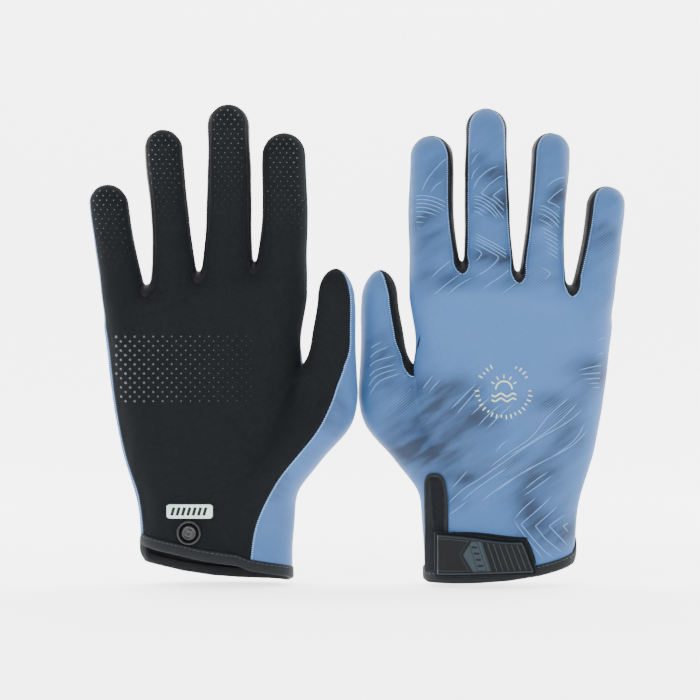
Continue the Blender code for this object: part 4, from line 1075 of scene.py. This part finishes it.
# overlock seams: slanted loops of light thread that reach from the seam onto the blue cloth
overlock = dict(pitch=1.05, reach=0.42, lift=0.16, slant=0.35, long=1.15, sway=0.15, wide=0.20, high=0.17,
                stop=1.5)
tooth, toothFaces = capsule()
for body in digits:
    parts, count = [], 0
    for name, face, column, first, last, light, blue in seams:
        if name != body or not light:
            continue
        own, back = sheets[name][face][first:last], sheets[name]["back"][first:last]
        inward = own[:, column + blue] - own[:, column] if abs(blue) == 1 else back[:, 1] - back[:, 0]
        line = cloth[name][face][first:last, column]
        steps, pick = evenly(line, overlock["pitch"])
        normal = unit(pick(normals[name][face][first:last, column]))
        line, inward = pick(line), unit(pick(inward))
        along = unit(np.gradient(line, axis=0))
        kept = steps < steps[-1] - overlock["stop"]
        places = line + overlock["reach"] * inward + overlock["lift"] * normal
        long = inward + overlock["slant"] * along
        length = overlock["long"] + overlock["sway"] * np.sin(steps * 3.1)
        sizes = np.stack([length, overlock["wide"] + 0 * steps, overlock["high"] + 0 * steps], -1)
        points, faces = scatter(tooth, toothFaces, places[kept], long[kept], normal[kept], sizes[kept])
        parts.append((points, faces + count))
        count += len(points)
    points, faces = (np.concatenate([p[k] for p in parts]) for k in (0, 1))
    addToBoth(f"{body}_overlock", points, faces, "light_thread", body)
print("overlock thread")

# a low dome: centre, one ring and a rim
def domeShape(sides=8):
    turn = np.arange(sides) * 2 * math.pi / sides
    rim = np.stack([np.cos(turn), np.sin(turn), -0.15 + 0 * turn], -1)
    ring = np.stack([0.72 * np.cos(turn), 0.72 * np.sin(turn), 0.65 + 0 * turn], -1)
    points = np.concatenate([rim, ring, [[0.0, 0.0, 0.95]]])
    faces = [(k, (k + 1) % sides, sides + (k + 1) % sides, sides + k) for k in range(sides)]
    faces += [(sides + k, sides + (k + 1) % sides, 2 * sides, 2 * sides) for k in range(sides)]
    return points, np.array(faces)

# the middle of the glove under (x, z): the fingers bow a little toward the palm
def middleAt(x, z):
    return np.stack([x, np.where(z > 150, -3.0, 0.0) + 0 * x, z], -1)

# place a point over (x, z) on the finished cloth of the palm (side -1) or the back (side 1)
def settle(x, z, side, lift=0.0):
    points = cast(middleAt(x, z), np.array([0.0, side, 0.0]))
    normal = outward(points)
    gap = nearest(points, allSeams)
    return points + (relief(points, gap) + lift)[..., None] * normal, normal, gap

dotShape, dotFaces = domeShape()

def addDots(name, points, normal, size, height, material, body):
    sizes = np.stack([size, size, height + 0 * size], -1)
    long = np.tile([0.3, 0.0, 1.0], (len(points), 1))
    points, faces = scatter(dotShape, dotFaces, points, long, normal, sizes)
    addToBoth(name, points, faces, material, body)

# band across the palm: staggered rows, the dots shrink from the little finger's side inward
band = dict(rows=15, columns=16, start=(-51.0, 89.6), pitch=(4.6, 2.28), drift=0.02, length=71.0,
            largest=0.60, smallest=0.14, margin=4.2, stop=20.5, seamGap=1.6)
rows, columns = np.meshgrid(np.arange(band["rows"]), np.arange(band["columns"]), indexing="ij")
x = (band["start"][0] + band["pitch"][0] * (columns + 0.5 * (rows % 2))).ravel()
z = (band["start"][1] + band["pitch"][1] * rows + band["drift"] * (columns - 8)).ravel()
share = np.clip((x - band["start"][0]) / band["length"], 0, 1)
size = (band["largest"] * (1 - share) ** 0.9 + band["smallest"]) * random.uniform(0.9, 1.1, x.shape)
keep = (x > through(edges, z)[0] + band["margin"]) & (x < band["stop"])
points, normal, gap = settle(x[keep], z[keep], -1)
good = gap > band["seamGap"]
size = size[keep][good]
addDots("palm_grip_dots", points[good], normal[good], size, 0.30 + 0.25 * size, "grip_silicone", "hand")

# finger fronts: smaller dots on the outer half, largest toward the tip
fingerDots = dict(lowest={"little": 163.0, "ring": 184.0, "middle": 190.0, "index": 178.0}, rows=26, half=4,
                  pitch=(3.36, 2.3), shift=1.7, top=3.5, margin=2.6, size=0.22, growth=0.20, height=0.30)
for body, lowest in fingerDots["lowest"].items():
    half = fingerDots["half"]
    rows, columns = np.meshgrid(np.arange(fingerDots["rows"]), np.arange(-half, half + 1), indexing="ij")
    z = tipHeight[body] - fingerDots["top"] - fingerDots["pitch"][1] * rows
    cx, cy, a, b = through(rays[body], z)
    x = cx + fingerDots["pitch"][0] * columns + np.where(rows % 2, fingerDots["shift"], 0.0)
    reach = (a - fingerDots["margin"]) * np.clip((tipHeight[body] - z) / 5.0, 0.55, 1.0)
    inside = (np.abs(x - cx) < reach) & (z > lowest - 4)
    x, z = x[inside], z[inside]
    grown = fingerDots["growth"] * np.clip((z - lowest) / 25, 0, 1)
    size = fingerDots["size"] + grown * random.uniform(0.6, 1.2, x.shape)
    points, normal, gap = settle(x, z, -1)
    good = (gap > 1.2) & (normal[:, 1] < -0.25)
    points, normal, size = points[good], normal[good], size[good]
    addDots(f"{body}_grip_dots", points, normal, size, fingerDots["height"], "clear_silicone", body)
print("grip dots")

# three points across a line of (x, z) points at each of the places along it
def strip(line, at, width):
    run = runAlong(line)
    x, z = np.interp(at, run, line[:, 0]), np.interp(at, run, line[:, 1])
    dx, dz = np.gradient(x, at), np.gradient(z, at)
    length = np.hypot(dx, dz) + 1e-9
    across = np.linspace(-0.5, 0.5, 3)[None, :] * width[:, None]
    return x[:, None] - across * (dz / length)[:, None], z[:, None] + across * (dx / length)[:, None]

# a flat ribbon along a line of (x, z) points, laid on the cloth and tapered at its ends
def ribbon(line, width, lift, taper=0.0, step=0.8, side=1):
    line = np.asarray(line, float)
    if len(line) > 2:
        a, b = unit(line[1:-1] - line[:-2]), unit(line[2:] - line[1:-1])
        if ((a * b).sum(1) >= 0.4).all():
            fine = np.linspace(0, len(line) - 1, (len(line) - 1) * 8 + 1)
            line = through(np.column_stack([np.arange(len(line)), line]), fine).T
    run = runAlong(line)
    at = np.linspace(0, run[-1], max(3, int(run[-1] / step) + 1))
    at = np.unique(np.concatenate([at, run[1:-1]])) if len(line) < 12 else at
    thin = np.clip(np.minimum(at, run[-1] - at) / taper, 0.15, 1) if taper else np.ones_like(at)
    x, z = strip(line, at, width * thin)
    points, normal, gap = settle(x, z, side, lift)
    # only the stretches that lie well inside the outline and off the seams are kept
    inside = gloveField(middleAt(x, z)) < -2.5
    good = ((gap > 0.9) & inside & (side * normal[..., 1] > 0.15)).all(1)
    cuts = np.flatnonzero(np.diff(good.astype(int))) + 1
    runs = [r for r in np.split(np.arange(len(good)), cuts) if good[r[0]] and len(r) > 2]
    return [points[r] for r in runs]

def joinGrids(grids):
    points, faces, count = [], [], 0
    for grid in grids:
        rows, columns = grid.shape[:2]
        points.append(grid.reshape(-1, 3))
        faces.append(gridFaces(rows, columns, count))
        count += rows * columns
    points, faces = np.concatenate(points), np.concatenate(faces)
    return points, faceOut(points, faces)

printLine = dict(width=0.36, lift=0.07, taper=3.0)
for part, lines in strokes.items():
    grids = [grid for line in lines for grid in ribbon(line, **printLine)]
    points, faces = joinGrids(grids)
    addToBoth(f"{part}_print_lines", points, faces, "print_ink", part)
print("print lines")

# emblem on the back: a ring of dashes round a low sun over two waves
emblem = dict(centre=(1.5, 94.8), radius=13.2, dashes=30, gaps=(4, 5, 24, 25), start=118, sweep=304,
              sunRadius=4.0, sunRise=0.6, rays=(5.4, 7.2), waveDrops=(0.0, -2.4), waveHeight=0.8, lift=0.09)

def aroundEmblem(radius, degrees, rise=0.0):
    turn = math.radians(degrees)
    return emblem["centre"][0] + radius * math.cos(turn), emblem["centre"][1] + rise + radius * math.sin(turn)

grids = []
for k in range(emblem["dashes"]):
    if k not in emblem["gaps"]:
        degrees = emblem["start"] + k * emblem["sweep"] / (emblem["dashes"] - 1)
        outer = emblem["radius"] + (1.1 if k % 3 else 0.3)
        dash = [aroundEmblem(emblem["radius"] - 1.0, degrees), aroundEmblem(outer, degrees)]
        grids += ribbon(dash, 0.55, emblem["lift"])
for drop in emblem["waveDrops"]:
    x, z = emblem["centre"][0] - 6, emblem["centre"][1] - 2.2 + drop
    wave = [(x + t, z + emblem["waveHeight"] * math.sin(t * 1.05)) for t in np.linspace(0, 12, 25)]
    grids += ribbon(wave, 0.7, emblem["lift"])
sun = [aroundEmblem(emblem["sunRadius"], degrees, emblem["sunRise"]) for degrees in np.linspace(0, 180, 22)]
grids += ribbon(sun, 0.7, emblem["lift"])
for k in range(5):
    ray = [aroundEmblem(radius, 30 + 30 * k, emblem["sunRise"]) for radius in emblem["rays"]]
    grids += ribbon(ray, 0.5, emblem["lift"])
points, faces = joinGrids(grids)
addToBoth("back_emblem", points, faces, "emblem_film", "hand")
print("emblem")

# a soft slab on the back or palm: its top swells up from its edge, its underside lies flat
def slab(x, z, side, lift, thick, edgeShare, extra=0.0):
    rows, columns = x.shape
    v = np.linspace(0, 1, rows)[:, None]
    u = np.linspace(0, 1, columns)[None, :]
    edge = np.minimum(np.minimum(u, 1 - u) / edgeShare[0], np.minimum(v, 1 - v) / edgeShare[1])
    swell = np.sqrt(1 - (1 - np.clip(edge, 0, 1)) ** 2)
    up = np.array([0.0, side, 0.0])
    base = cast(np.stack([x, 0 * x, z], -1), up)
    return base + (lift + thick * swell + extra * (swell > 0))[..., None] * up, base + lift * up

def addSlab(name, top, bottom, body, material, side, values=None):
    rows, columns = top.shape[:2]
    points = np.concatenate([top.reshape(-1, 3), bottom.reshape(-1, 3)])
    faces = gridFaces(rows, columns)
    # the grid's own turn decides which way is out: side 1 looks along +Y
    a, b, d = points[faces[0, 0]], points[faces[0, 1]], points[faces[0, 3]]
    flip = np.cross(b - a, d - a)[1] * side < 0
    under = gridFaces(rows, columns, rows * columns)[:, ::-1]
    index = np.arange(rows * columns).reshape(rows, columns)
    rim = np.concatenate([index[0, :-1], index[:-1, -1], index[-1, :0:-1], index[:0:-1, 0]])
    after = np.roll(rim, -1)
    wall = np.stack([after, rim, rim + rows * columns, after + rows * columns], -1)
    faces = np.concatenate([faces, under, wall])
    faces = faces[:, ::-1] if flip else faces
    values = {k: np.concatenate([v.ravel(), v.ravel() * 0]) for k, v in (values or {}).items()}
    addToBoth(name, points, faces, material, body, [name], values)

# the label: a thin plate, corners drawn in by a superellipse, with bold slanted bars in a row
label = dict(x=(-21.5, 1.5), z=(31.5, 38.5), lift=0.35, thick=0.3, bars=7, barStart=-18.9, barPitch=2.65,
             barZ=(33.0, 37.0), lean=1.2, barWidth=1.5, barLift=0.69)
u, v = np.meshgrid(np.linspace(-1, 1, 41), np.linspace(-1, 1, 21))
halfWide, halfHigh = (label["x"][1] - label["x"][0]) / 2, (label["z"][1] - label["z"][0]) / 2
x = sum(label["x"]) / 2 + halfWide * u * (1 - 0.045 * np.abs(v) ** 14)
z = sum(label["z"]) / 2 + halfHigh * v * (1 - 0.16 * np.abs(u) ** 24)
top, bottom = slab(x, z, -1, label["lift"], label["thick"], (0.02, 0.05))
addSlab("wrist_label", top, bottom, "hand", "mint_film", -1)
bars = []
for k in range(label["bars"]):
    at = label["barStart"] + label["barPitch"] * k
    line = np.array([(at, label["barZ"][0]), (at + label["lean"], label["barZ"][1])])
    x, z = strip(line, np.linspace(0, runAlong(line)[-1], 6), np.full(6, label["barWidth"]))
    down = np.array([0.0, -1.0, 0.0])
    bars.append(cast(np.stack([x, 0 * x, z], -1), down) + label["barLift"] * down)
points, faces = joinGrids(bars)
addToBoth("label_marks", points, faces, "label_ink", "hand")
print("label")

# faces of a closed form turned so that they look away from a point near each of them
def facingFrom(points, faces, centres):
    corners = points[faces]
    facing = np.cross(corners[:, 2] - corners[:, 0], corners[:, 3] - corners[:, 1])
    return faces[:, ::-1] if ((corners.mean(1) - centres) * facing).sum() < 0 else faces

# cuff binding: a folded tape, a rounded U of (height, lift off the cloth) carried once round the cuff
tape = dict(columns=14, follow=0.6, stitchRow=4, stitchPitch=2.3, stitchSize=(1.7, 0.17, 0.15),
            profile=[(4.9, 0.30), (5.0, 0.55), (4.8, 0.78), (4.3, 0.80), (3.9, 0.70), (3.5, 0.84),
                     (2.6, 0.98), (1.4, 1.04), (0.4, 1.02), (-0.3, 0.85), (-0.58, 0.4), (-0.6, -0.6),
                     (-0.58, -1.5), (-0.2, -1.95), (0.6, -2.05), (2.4, -2.05), (4.2, -2.0), (4.5, -1.75), (4.45, -1.3)])
ringOrigin, ringDirection = [], []
stops = [(name, spaced(0, 1, tape["columns"])[:-1]) for name in digits] + [("thumb", spacedSide(1)[:-1])]
stops += [(name, spaced(2, 3, tape["columns"])[:-1]) for name in digits[::-1]]
stops += [("little", spacedSide(3)[:-1])]
for name, q in stops:
    lowest = [{key: value[:1] for key, value in side.items()} for side in digitRails(name, rowCounts)]
    origin, direction = section(lowest, q, dict(rowCounts, dome=0))
    ringOrigin.append(origin[0])
    ringDirection.append(direction[0])
ringOrigin, ringDirection = np.concatenate(ringOrigin), np.concatenate(ringDirection)
rings = []
for height, lift in tape["profile"]:
    points = cast(ringOrigin + np.array([0, 0, height]), ringDirection)
    rings.append(points + (lift + tape["follow"] * slack(points))[:, None] * outward(points))
rings = np.stack(rings)
rows, columns = rings.shape[:2]
k = np.arange(rows * columns).reshape(rows, columns)
right, above = np.roll(k, -1, 1), np.roll(k, -1, 0)
faces = np.stack([k, right, np.roll(right, -1, 0), above], -1).reshape(-1, 4)
points = rings.reshape(-1, 3)
corners = points[faces[:columns]]
facing = np.cross(corners[:, 2] - corners[:, 0], corners[:, 3] - corners[:, 1])
if (outward(corners.mean(1)) * facing).sum() < 0:
    faces = faces[:, ::-1]
addToBoth("cuff_binding", points, faces, "elastic_tape", "hand", ["cuff_binding"])

# stitch line in the tape's groove
row = rings[tape["stitchRow"]]
loop = np.concatenate([row, row[:1]])
steps, pick = evenly(loop, tape["stitchPitch"])
normal = pick(outward(loop))
along, sizes = pick(np.gradient(loop, axis=0)), np.tile(tape["stitchSize"], (len(steps), 1))
points, faces = scatter(tooth, toothFaces, pick(loop) + 0.12 * normal, along, normal, sizes)
addToBoth("cuff_stitches", points, faces, "dark_thread", "hand")
print("cuff binding")

# press stud: turned profiles of (radius, height off the cloth); a ring's profile closes on itself
stud = dict(at=(-10.3, 24.4), sides=72, ticks=16, tickRadius=4.45, tickHeight=0.72, tickSize=(0.5, 0.1, 0.12),
            snap_ring=[(5.95, 0.35), (6.0, 0.8), (5.85, 1.25), (5.5, 1.5), (5.15, 1.5), (4.95, 1.25),
                       (4.85, 0.7), (4.75, 0.35)],
            snap_centre=[(0.0, 0.95), (0.9, 1.0), (1.05, 1.25), (1.5, 1.3), (1.75, 1.05), (2.1, 0.95),
                         (2.5, 1.0), (2.75, 1.35), (3.2, 1.38), (3.55, 1.1), (3.75, 0.6), (4.1, 0.4),
                         (0.0, 0.38)],
            snap_washer=[(0.0, -1.42), (5.2, -1.42), (5.4, -1.6), (5.4, -1.95), (5.2, -2.1), (0.0, -2.1)])
place = cast(np.array([[stud["at"][0], 0.0, stud["at"][1]]]), np.array([0.0, -1.0, 0.0]))
studNormal = outward(place)[0]
place = place[0]
side = np.cross(studNormal, [0, 0, 1.0])
side /= np.linalg.norm(side)
up = np.cross(side, studNormal)

def spokes(count):
    turn = np.arange(count) * 2 * math.pi / count
    return np.cos(turn)[:, None] * side + np.sin(turn)[:, None] * up

for name in ("snap_ring", "snap_centre", "snap_washer"):
    profile = stud[name]
    isRing = profile[0][0] > 0
    grid = np.stack([place + r * spokes(stud["sides"]) + h * studNormal for r, h in profile])
    grid = np.concatenate([grid, grid[:1]]) if isRing else grid
    points, faces = weldGrids([np.concatenate([grid, grid[:, :1]], 1)])
    if isRing:
        hub = points[faces].mean(1) - place
        flat = hub - (hub @ studNormal)[:, None] * studNormal
        centres = place + unit(flat) * 5.4 + 0.9 * studNormal
    else:
        centres = place + np.mean([h for _, h in profile]) * studNormal
    addToBoth(name, points, facingFrom(points, faces, centres), "satin_snap", "hand", [name])
# short ticks in the dark gap of the stud
out = spokes(stud["ticks"])
places = place + stud["tickRadius"] * out + stud["tickHeight"] * studNormal
normal, sizes = [np.tile(row, (stud["ticks"], 1)) for row in (studNormal, stud["tickSize"])]
points, faces = scatter(tooth, toothFaces, places, out, normal, sizes)
addToBoth("snap_ticks", points, faces, "dark_thread", "hand")
print("press stud")

# sideways lean of a free end that is cut on a slant: its upper corner lies further back
def slantEnd(x, v, shift, start, length):
    return x + shift * smooth((start - x) / length) * v ** 1.5

# loop patch under the strap
loopPatch = dict(x=(27.0, -14.2), above=6.0, top=25.0, drop=2.6, lift=0.45, thick=0.72, fuzz=0.10)
x, v = np.meshgrid(np.linspace(*loopPatch["x"], 90), np.linspace(0, 1, 40))
x = slantEnd(x, v, 4.6, 12.0, 24.0)
low = through(cuffBack, x) + loopPatch["above"]
z = low + (loopPatch["top"] - loopPatch["drop"] * smooth((20 - x) / 30) - low) * v
fuzz = loopPatch["fuzz"] * np.sin(x * 5.1 + z * 3.7) * np.sin(z * 6.3 - x * 2.1)
top, bottom = slab(x, z, 1, loopPatch["lift"], loopPatch["thick"], (0.02, 0.05), fuzz)
addSlab("loop_patch", top, bottom, "hand", "brushed_fleece", 1)

# low and high edge of the strap at each x between its root and its free end
def strapEdges(x, ends, inset):
    along = (ends[0] - x) / (ends[0] - ends[1])
    return 2.4 + 1.6 * along + inset, 25.4 - 3.4 * smooth(along * 1.1) - inset

# hook strap: fuzzy cloth that shows as a dark border round the rubber tab, with a ragged edge
strap = dict(x=(36.0, -14.5), lift=2.1, thick=0.95, fuzz=0.14, ragged=(0.16, 0.12))
x, v = np.meshgrid(np.linspace(*strap["x"], 170), np.linspace(0, 1, 70))
low, high = strapEdges(x, strap["x"], 0.0)
ragged = strap["ragged"][0] * np.sin(x * 3.9) + strap["ragged"][1] * np.sin(x * 7.7 + 1.0)
z = low + 0.1 + (high - low - 0.3 + ragged) * v
x = slantEnd(x, v, 5.2, 14.0, 26.0)
fuzz = strap["fuzz"] * np.sin(x * 4.3 + z * 5.7) * np.sin(z * 5.1 - x * 3.3)
top, bottom = slab(x, z, 1, strap["lift"], strap["thick"], (0.015, 0.05), fuzz)
addSlab("hook_strap", top, bottom, "strap", "brushed_fleece", 1)

# pull tab: a height field with a raised rim, a plain field, a chevron, a plate and slanted ribs
tab = dict(x=(34.5, -12.8), inset=1.6, slant=5.6, rim=(0.15, 0.9), border=1.3, chevron=(22.5, 11.0),
           plateEnd=11.0, ribPitch=2.9, ribs=(10.8, -9.4), bars=4, lift=3.4, thick=2.0, sunk=0.30)
x, v = np.meshgrid(np.linspace(*tab["x"], 320), np.linspace(0, 1, 110))
low, high = strapEdges(x, tab["x"], tab["inset"])
fromRoot, fromEnd = tab["x"][0] - x, x - tab["x"][1]
lean = tab["slant"] * smooth((20.0 - x) / 32.0) * v
x, fromRoot = x + lean, fromRoot - lean
z = low + (high - low) * v
ribX = x - tab["slant"] * (v - 0.5)

# a soft step up from 0 to 1 where a value passes zero
def step(value, soft=0.12):
    return smooth((value + soft) / (2 * soft))

edgeGap = np.minimum(np.minimum(z - low, high - z), np.minimum(fromEnd, fromRoot + 20))
rim = step(tab["rim"][1] - edgeGap) * step(edgeGap - tab["rim"][0])
inside = step(edgeGap - tab["border"])
chevron = tab["chevron"][0] - tab["chevron"][1] * np.abs(v - 0.52)
plate = step(chevron - 0.5 - x) * step(ribX - tab["plateEnd"]) * inside
field = step(x - chevron - 0.4) * inside * step(33.6 - x)
frameLine = step(0.22 - np.abs(edgeGap - 1.9)) * step(x - chevron - 0.9)
frameLine = np.maximum(frameLine, step(0.22 - np.abs(x - chevron - 1.2)) * inside)
ribPhase = (10.6 - ribX) / tab["ribPitch"]
fromRib = (0.5 - np.abs((ribPhase % 1.0) - 0.5)) * tab["ribPitch"]
rib = step(0.26 - fromRib, 0.14) * step(tab["ribs"][0] - ribX) * step(ribX - tab["ribs"][1]) * inside
bars = np.zeros_like(x)
for k in range(tab["bars"]):
    bar = step(1.35 - np.abs(ribX - 14.95)) * step(0.42 - np.abs((v - 0.24 - 0.17 * k) * 15), 0.1)
    bars = np.maximum(bars, bar)

def boxAt(halfWide, halfHigh):
    return step(halfWide - np.abs(ribX - 14.95)) * step(halfHigh - np.abs((v - 0.5) * 15))

box = np.clip(boxAt(2.4, 6.2) - boxAt(2.05, 5.85), 0, 1)
height = (0.30 * rim + 0.22 * plate - 0.12 * field + 0.14 * frameLine + 0.30 * rib
          - 0.16 * bars * plate - 0.14 * box * plate - tab["sunk"])
# tone: the plate and frame lines lighter grey; the lighter rim and rib lines are painted highlights on the raised edges
tone = 0.80 * plate + 0.50 * rim + 0.42 * frameLine + 0.70 * rib - 0.7 * bars * plate - 0.6 * box * plate
top, bottom = slab(x, z, 1, tab["lift"], tab["thick"], (0.012, 0.035), height)
addSlab("pull_tab", top, bottom, "strap", "moulded_rubber", 1, dict(tone=np.clip(tone, 0, 1)))
print("strap and tab")

# vent gusset: dark stretch cloth in a bound edge, with a soft fold that leans to the thumb
gusset = dict(low=3.6, height=49.4, axis=24, around=51, lean=5, half=24.0, narrowing=5.0, lift=0.4, rise=0.7,
              thick=0.35, fold=0.42, rows=70, columns=41, edgeRadius=1.05, edgeFlat=0.62, edgeStep=0.8)
v = np.linspace(0, 1, gusset["rows"])[:, None]
across = np.linspace(-1, 1, gusset["columns"])[None, :]
halfAngle = (gusset["half"] - gusset["narrowing"] * v) * np.sqrt(np.clip(1 - (v / 1.02) ** 8, 0.02, 1))
angle = np.radians(gusset["around"] - gusset["lean"] * v + halfAngle * across)
z = gusset["low"] + gusset["height"] * v + 0 * angle
origin = np.stack([gusset["axis"] + 0 * z, 0 * z, z], -1)
points = cast(origin, np.stack([np.sin(angle), np.cos(angle), 0 * angle], -1))
normal = outward(points)
# above the strap the gusset stands out further
lift = gusset["lift"] + gusset["rise"] * smooth((z - 26) / 12)
fold = np.exp(-((across + 0.1 - 0.55 * v) / 0.16) ** 2) + 0.6 * np.exp(-((across - 0.5) / 0.2) ** 2)
rimShare = smooth((1 - np.abs(across)) / 0.12) * smooth((1.0 - v) / 0.04) * smooth(v / 0.02)
swell = rimShare * (gusset["thick"] + gusset["fold"] * fold * smooth((z - 24) / 8))
top = points + (lift + swell)[..., None] * normal
bottom = points + lift[..., None] * normal
rows, columns = z.shape
bothSides = np.concatenate([top.reshape(-1, 3), bottom.reshape(-1, 3)])
upper = faceOut(bothSides, gridFaces(rows, columns))
under = faceOut(bothSides, gridFaces(rows, columns, rows * columns))[:, ::-1]
addToBoth("vent_gusset", bothSides, np.concatenate([upper, under]), "brushed_fleece", "hand",
          ["vent_gusset"])

# a flattened tube along a line of points, closed at both ends by shrinking rings
def tube(line, normal, radius, flat, sides=10):
    along = unit(np.gradient(line, axis=0))
    across = unit(np.cross(along, normal))
    up = np.cross(across, along)
    turn = np.arange(sides + 1) * 2 * math.pi / sides
    radius = radius * np.ones(len(line))
    radius[0], radius[-1] = 1e-4, 1e-4
    ring = np.cos(turn)[None, :, None] * across[:, None] + flat * np.sin(turn)[None, :, None] * up[:, None]
    return line[:, None] + radius[:, None, None] * ring

# the gusset's bound edge: up its left side, over the top and down the right
def roundEdge(values):
    return np.concatenate([values[:, 0], values[-1, 1:-1], values[::-1, -1]])

edgeNormal = roundEdge(normal)
edgeLine = roundEdge(points) + (roundEdge(lift) * 0.6 + 0.25)[:, None] * edgeNormal
steps, pick = evenly(edgeLine, gusset["edgeStep"])
line = pick(edgeLine)
for _ in range(6):
    line[1:-1] = (line[:-2] + 2 * line[1:-1] + line[2:]) / 4
points, faces = weldGrids([tube(line, pick(edgeNormal), gusset["edgeRadius"], gusset["edgeFlat"])])
middle = points[faces].mean(1)
centres = line[np.argmin(((middle[:, None] - line[None]) ** 2).sum(-1), 1)]
addToBoth("vent_edge", points, facingFrom(points, faces, centres), "elastic_tape", "hand")
print("vent gusset")

# studio: a white sweep of paper that curves up behind the gloves, soft lights, a long lens
plain("paper_floor", "#FFFFFF", 0.95, 0.1, glow=2.0)
sweepSize = dict(wide=4.0, front=-4.0, back=1.1, high=2.2, bend=0.5, drop=0.002)
floorZ = cadBox[0][2] - sweepSize["drop"]
profile = [(sweepSize["front"], floorZ)]
for a in np.linspace(0, math.pi / 2, 13):
    bend = sweepSize["bend"]
    profile.append((sweepSize["back"] - bend + bend * math.sin(a), floorZ + bend - bend * math.cos(a)))
profile.append((sweepSize["back"], sweepSize["high"]))
grid = [(x, y, z) for y, z in profile for x in (-sweepSize["wide"], sweepSize["wide"])]
mesh = bpy.data.meshes.new("studio_sweep")
mesh.from_pydata(grid, [], gridFaces(len(profile), 2).tolist())
mesh.shade_smooth()
mesh.materials.append(materials["paper_floor"])
sweep = bpy.data.objects.new("studio_sweep", mesh)
bpy.context.scene.collection.objects.link(sweep)

world = bpy.data.worlds.new("soft_world")
world.use_nodes = True
background = world.node_tree.nodes["Background"]
background.inputs["Color"].default_value = (0.95, 0.97, 1.0, 1.0)
background.inputs["Strength"].default_value = 0.6
bpy.context.scene.world = world

target = Vector((0.0665, 0.0, 0.1058))

def areaLight(name, place, size, power):
    light = bpy.data.lights.new(name, "AREA")
    light.shape = "RECTANGLE"
    light.size, light.size_y = size
    light.energy = power
    obj = bpy.data.objects.new(name, light)
    obj.location = place
    obj.rotation_euler = (target - Vector(place)).to_track_quat("-Z", "Y").to_euler()
    bpy.context.scene.collection.objects.link(obj)

areaLight("key_left", (-0.75, -0.95, 0.95), (0.9, 0.9), 16)
areaLight("fill_right", (1.0, -0.9, 0.55), (0.9, 0.9), 9)
areaLight("rim_left", (-0.85, 0.45, 0.5), (0.5, 1.0), 14)
areaLight("rim_right", (1.0, 0.45, 0.5), (0.5, 1.0), 16)
areaLight("sweep_top", (0.07, 0.2, 1.6), (1.6, 0.8), 26)

view = dict(lens=105, sensor=36, width=0.350)
camera = bpy.data.cameras.new("camera")
camera.lens = view["lens"]
camera.sensor_width = view["sensor"]
cameraObject = bpy.data.objects.new("camera", camera)
distance = view["width"] * view["lens"] / view["sensor"]
cameraObject.location = target + Vector((0, -distance, 0))
cameraObject.rotation_euler = (math.pi / 2, 0, 0)
bpy.context.scene.collection.objects.link(cameraObject)
bpy.context.scene.camera = cameraObject
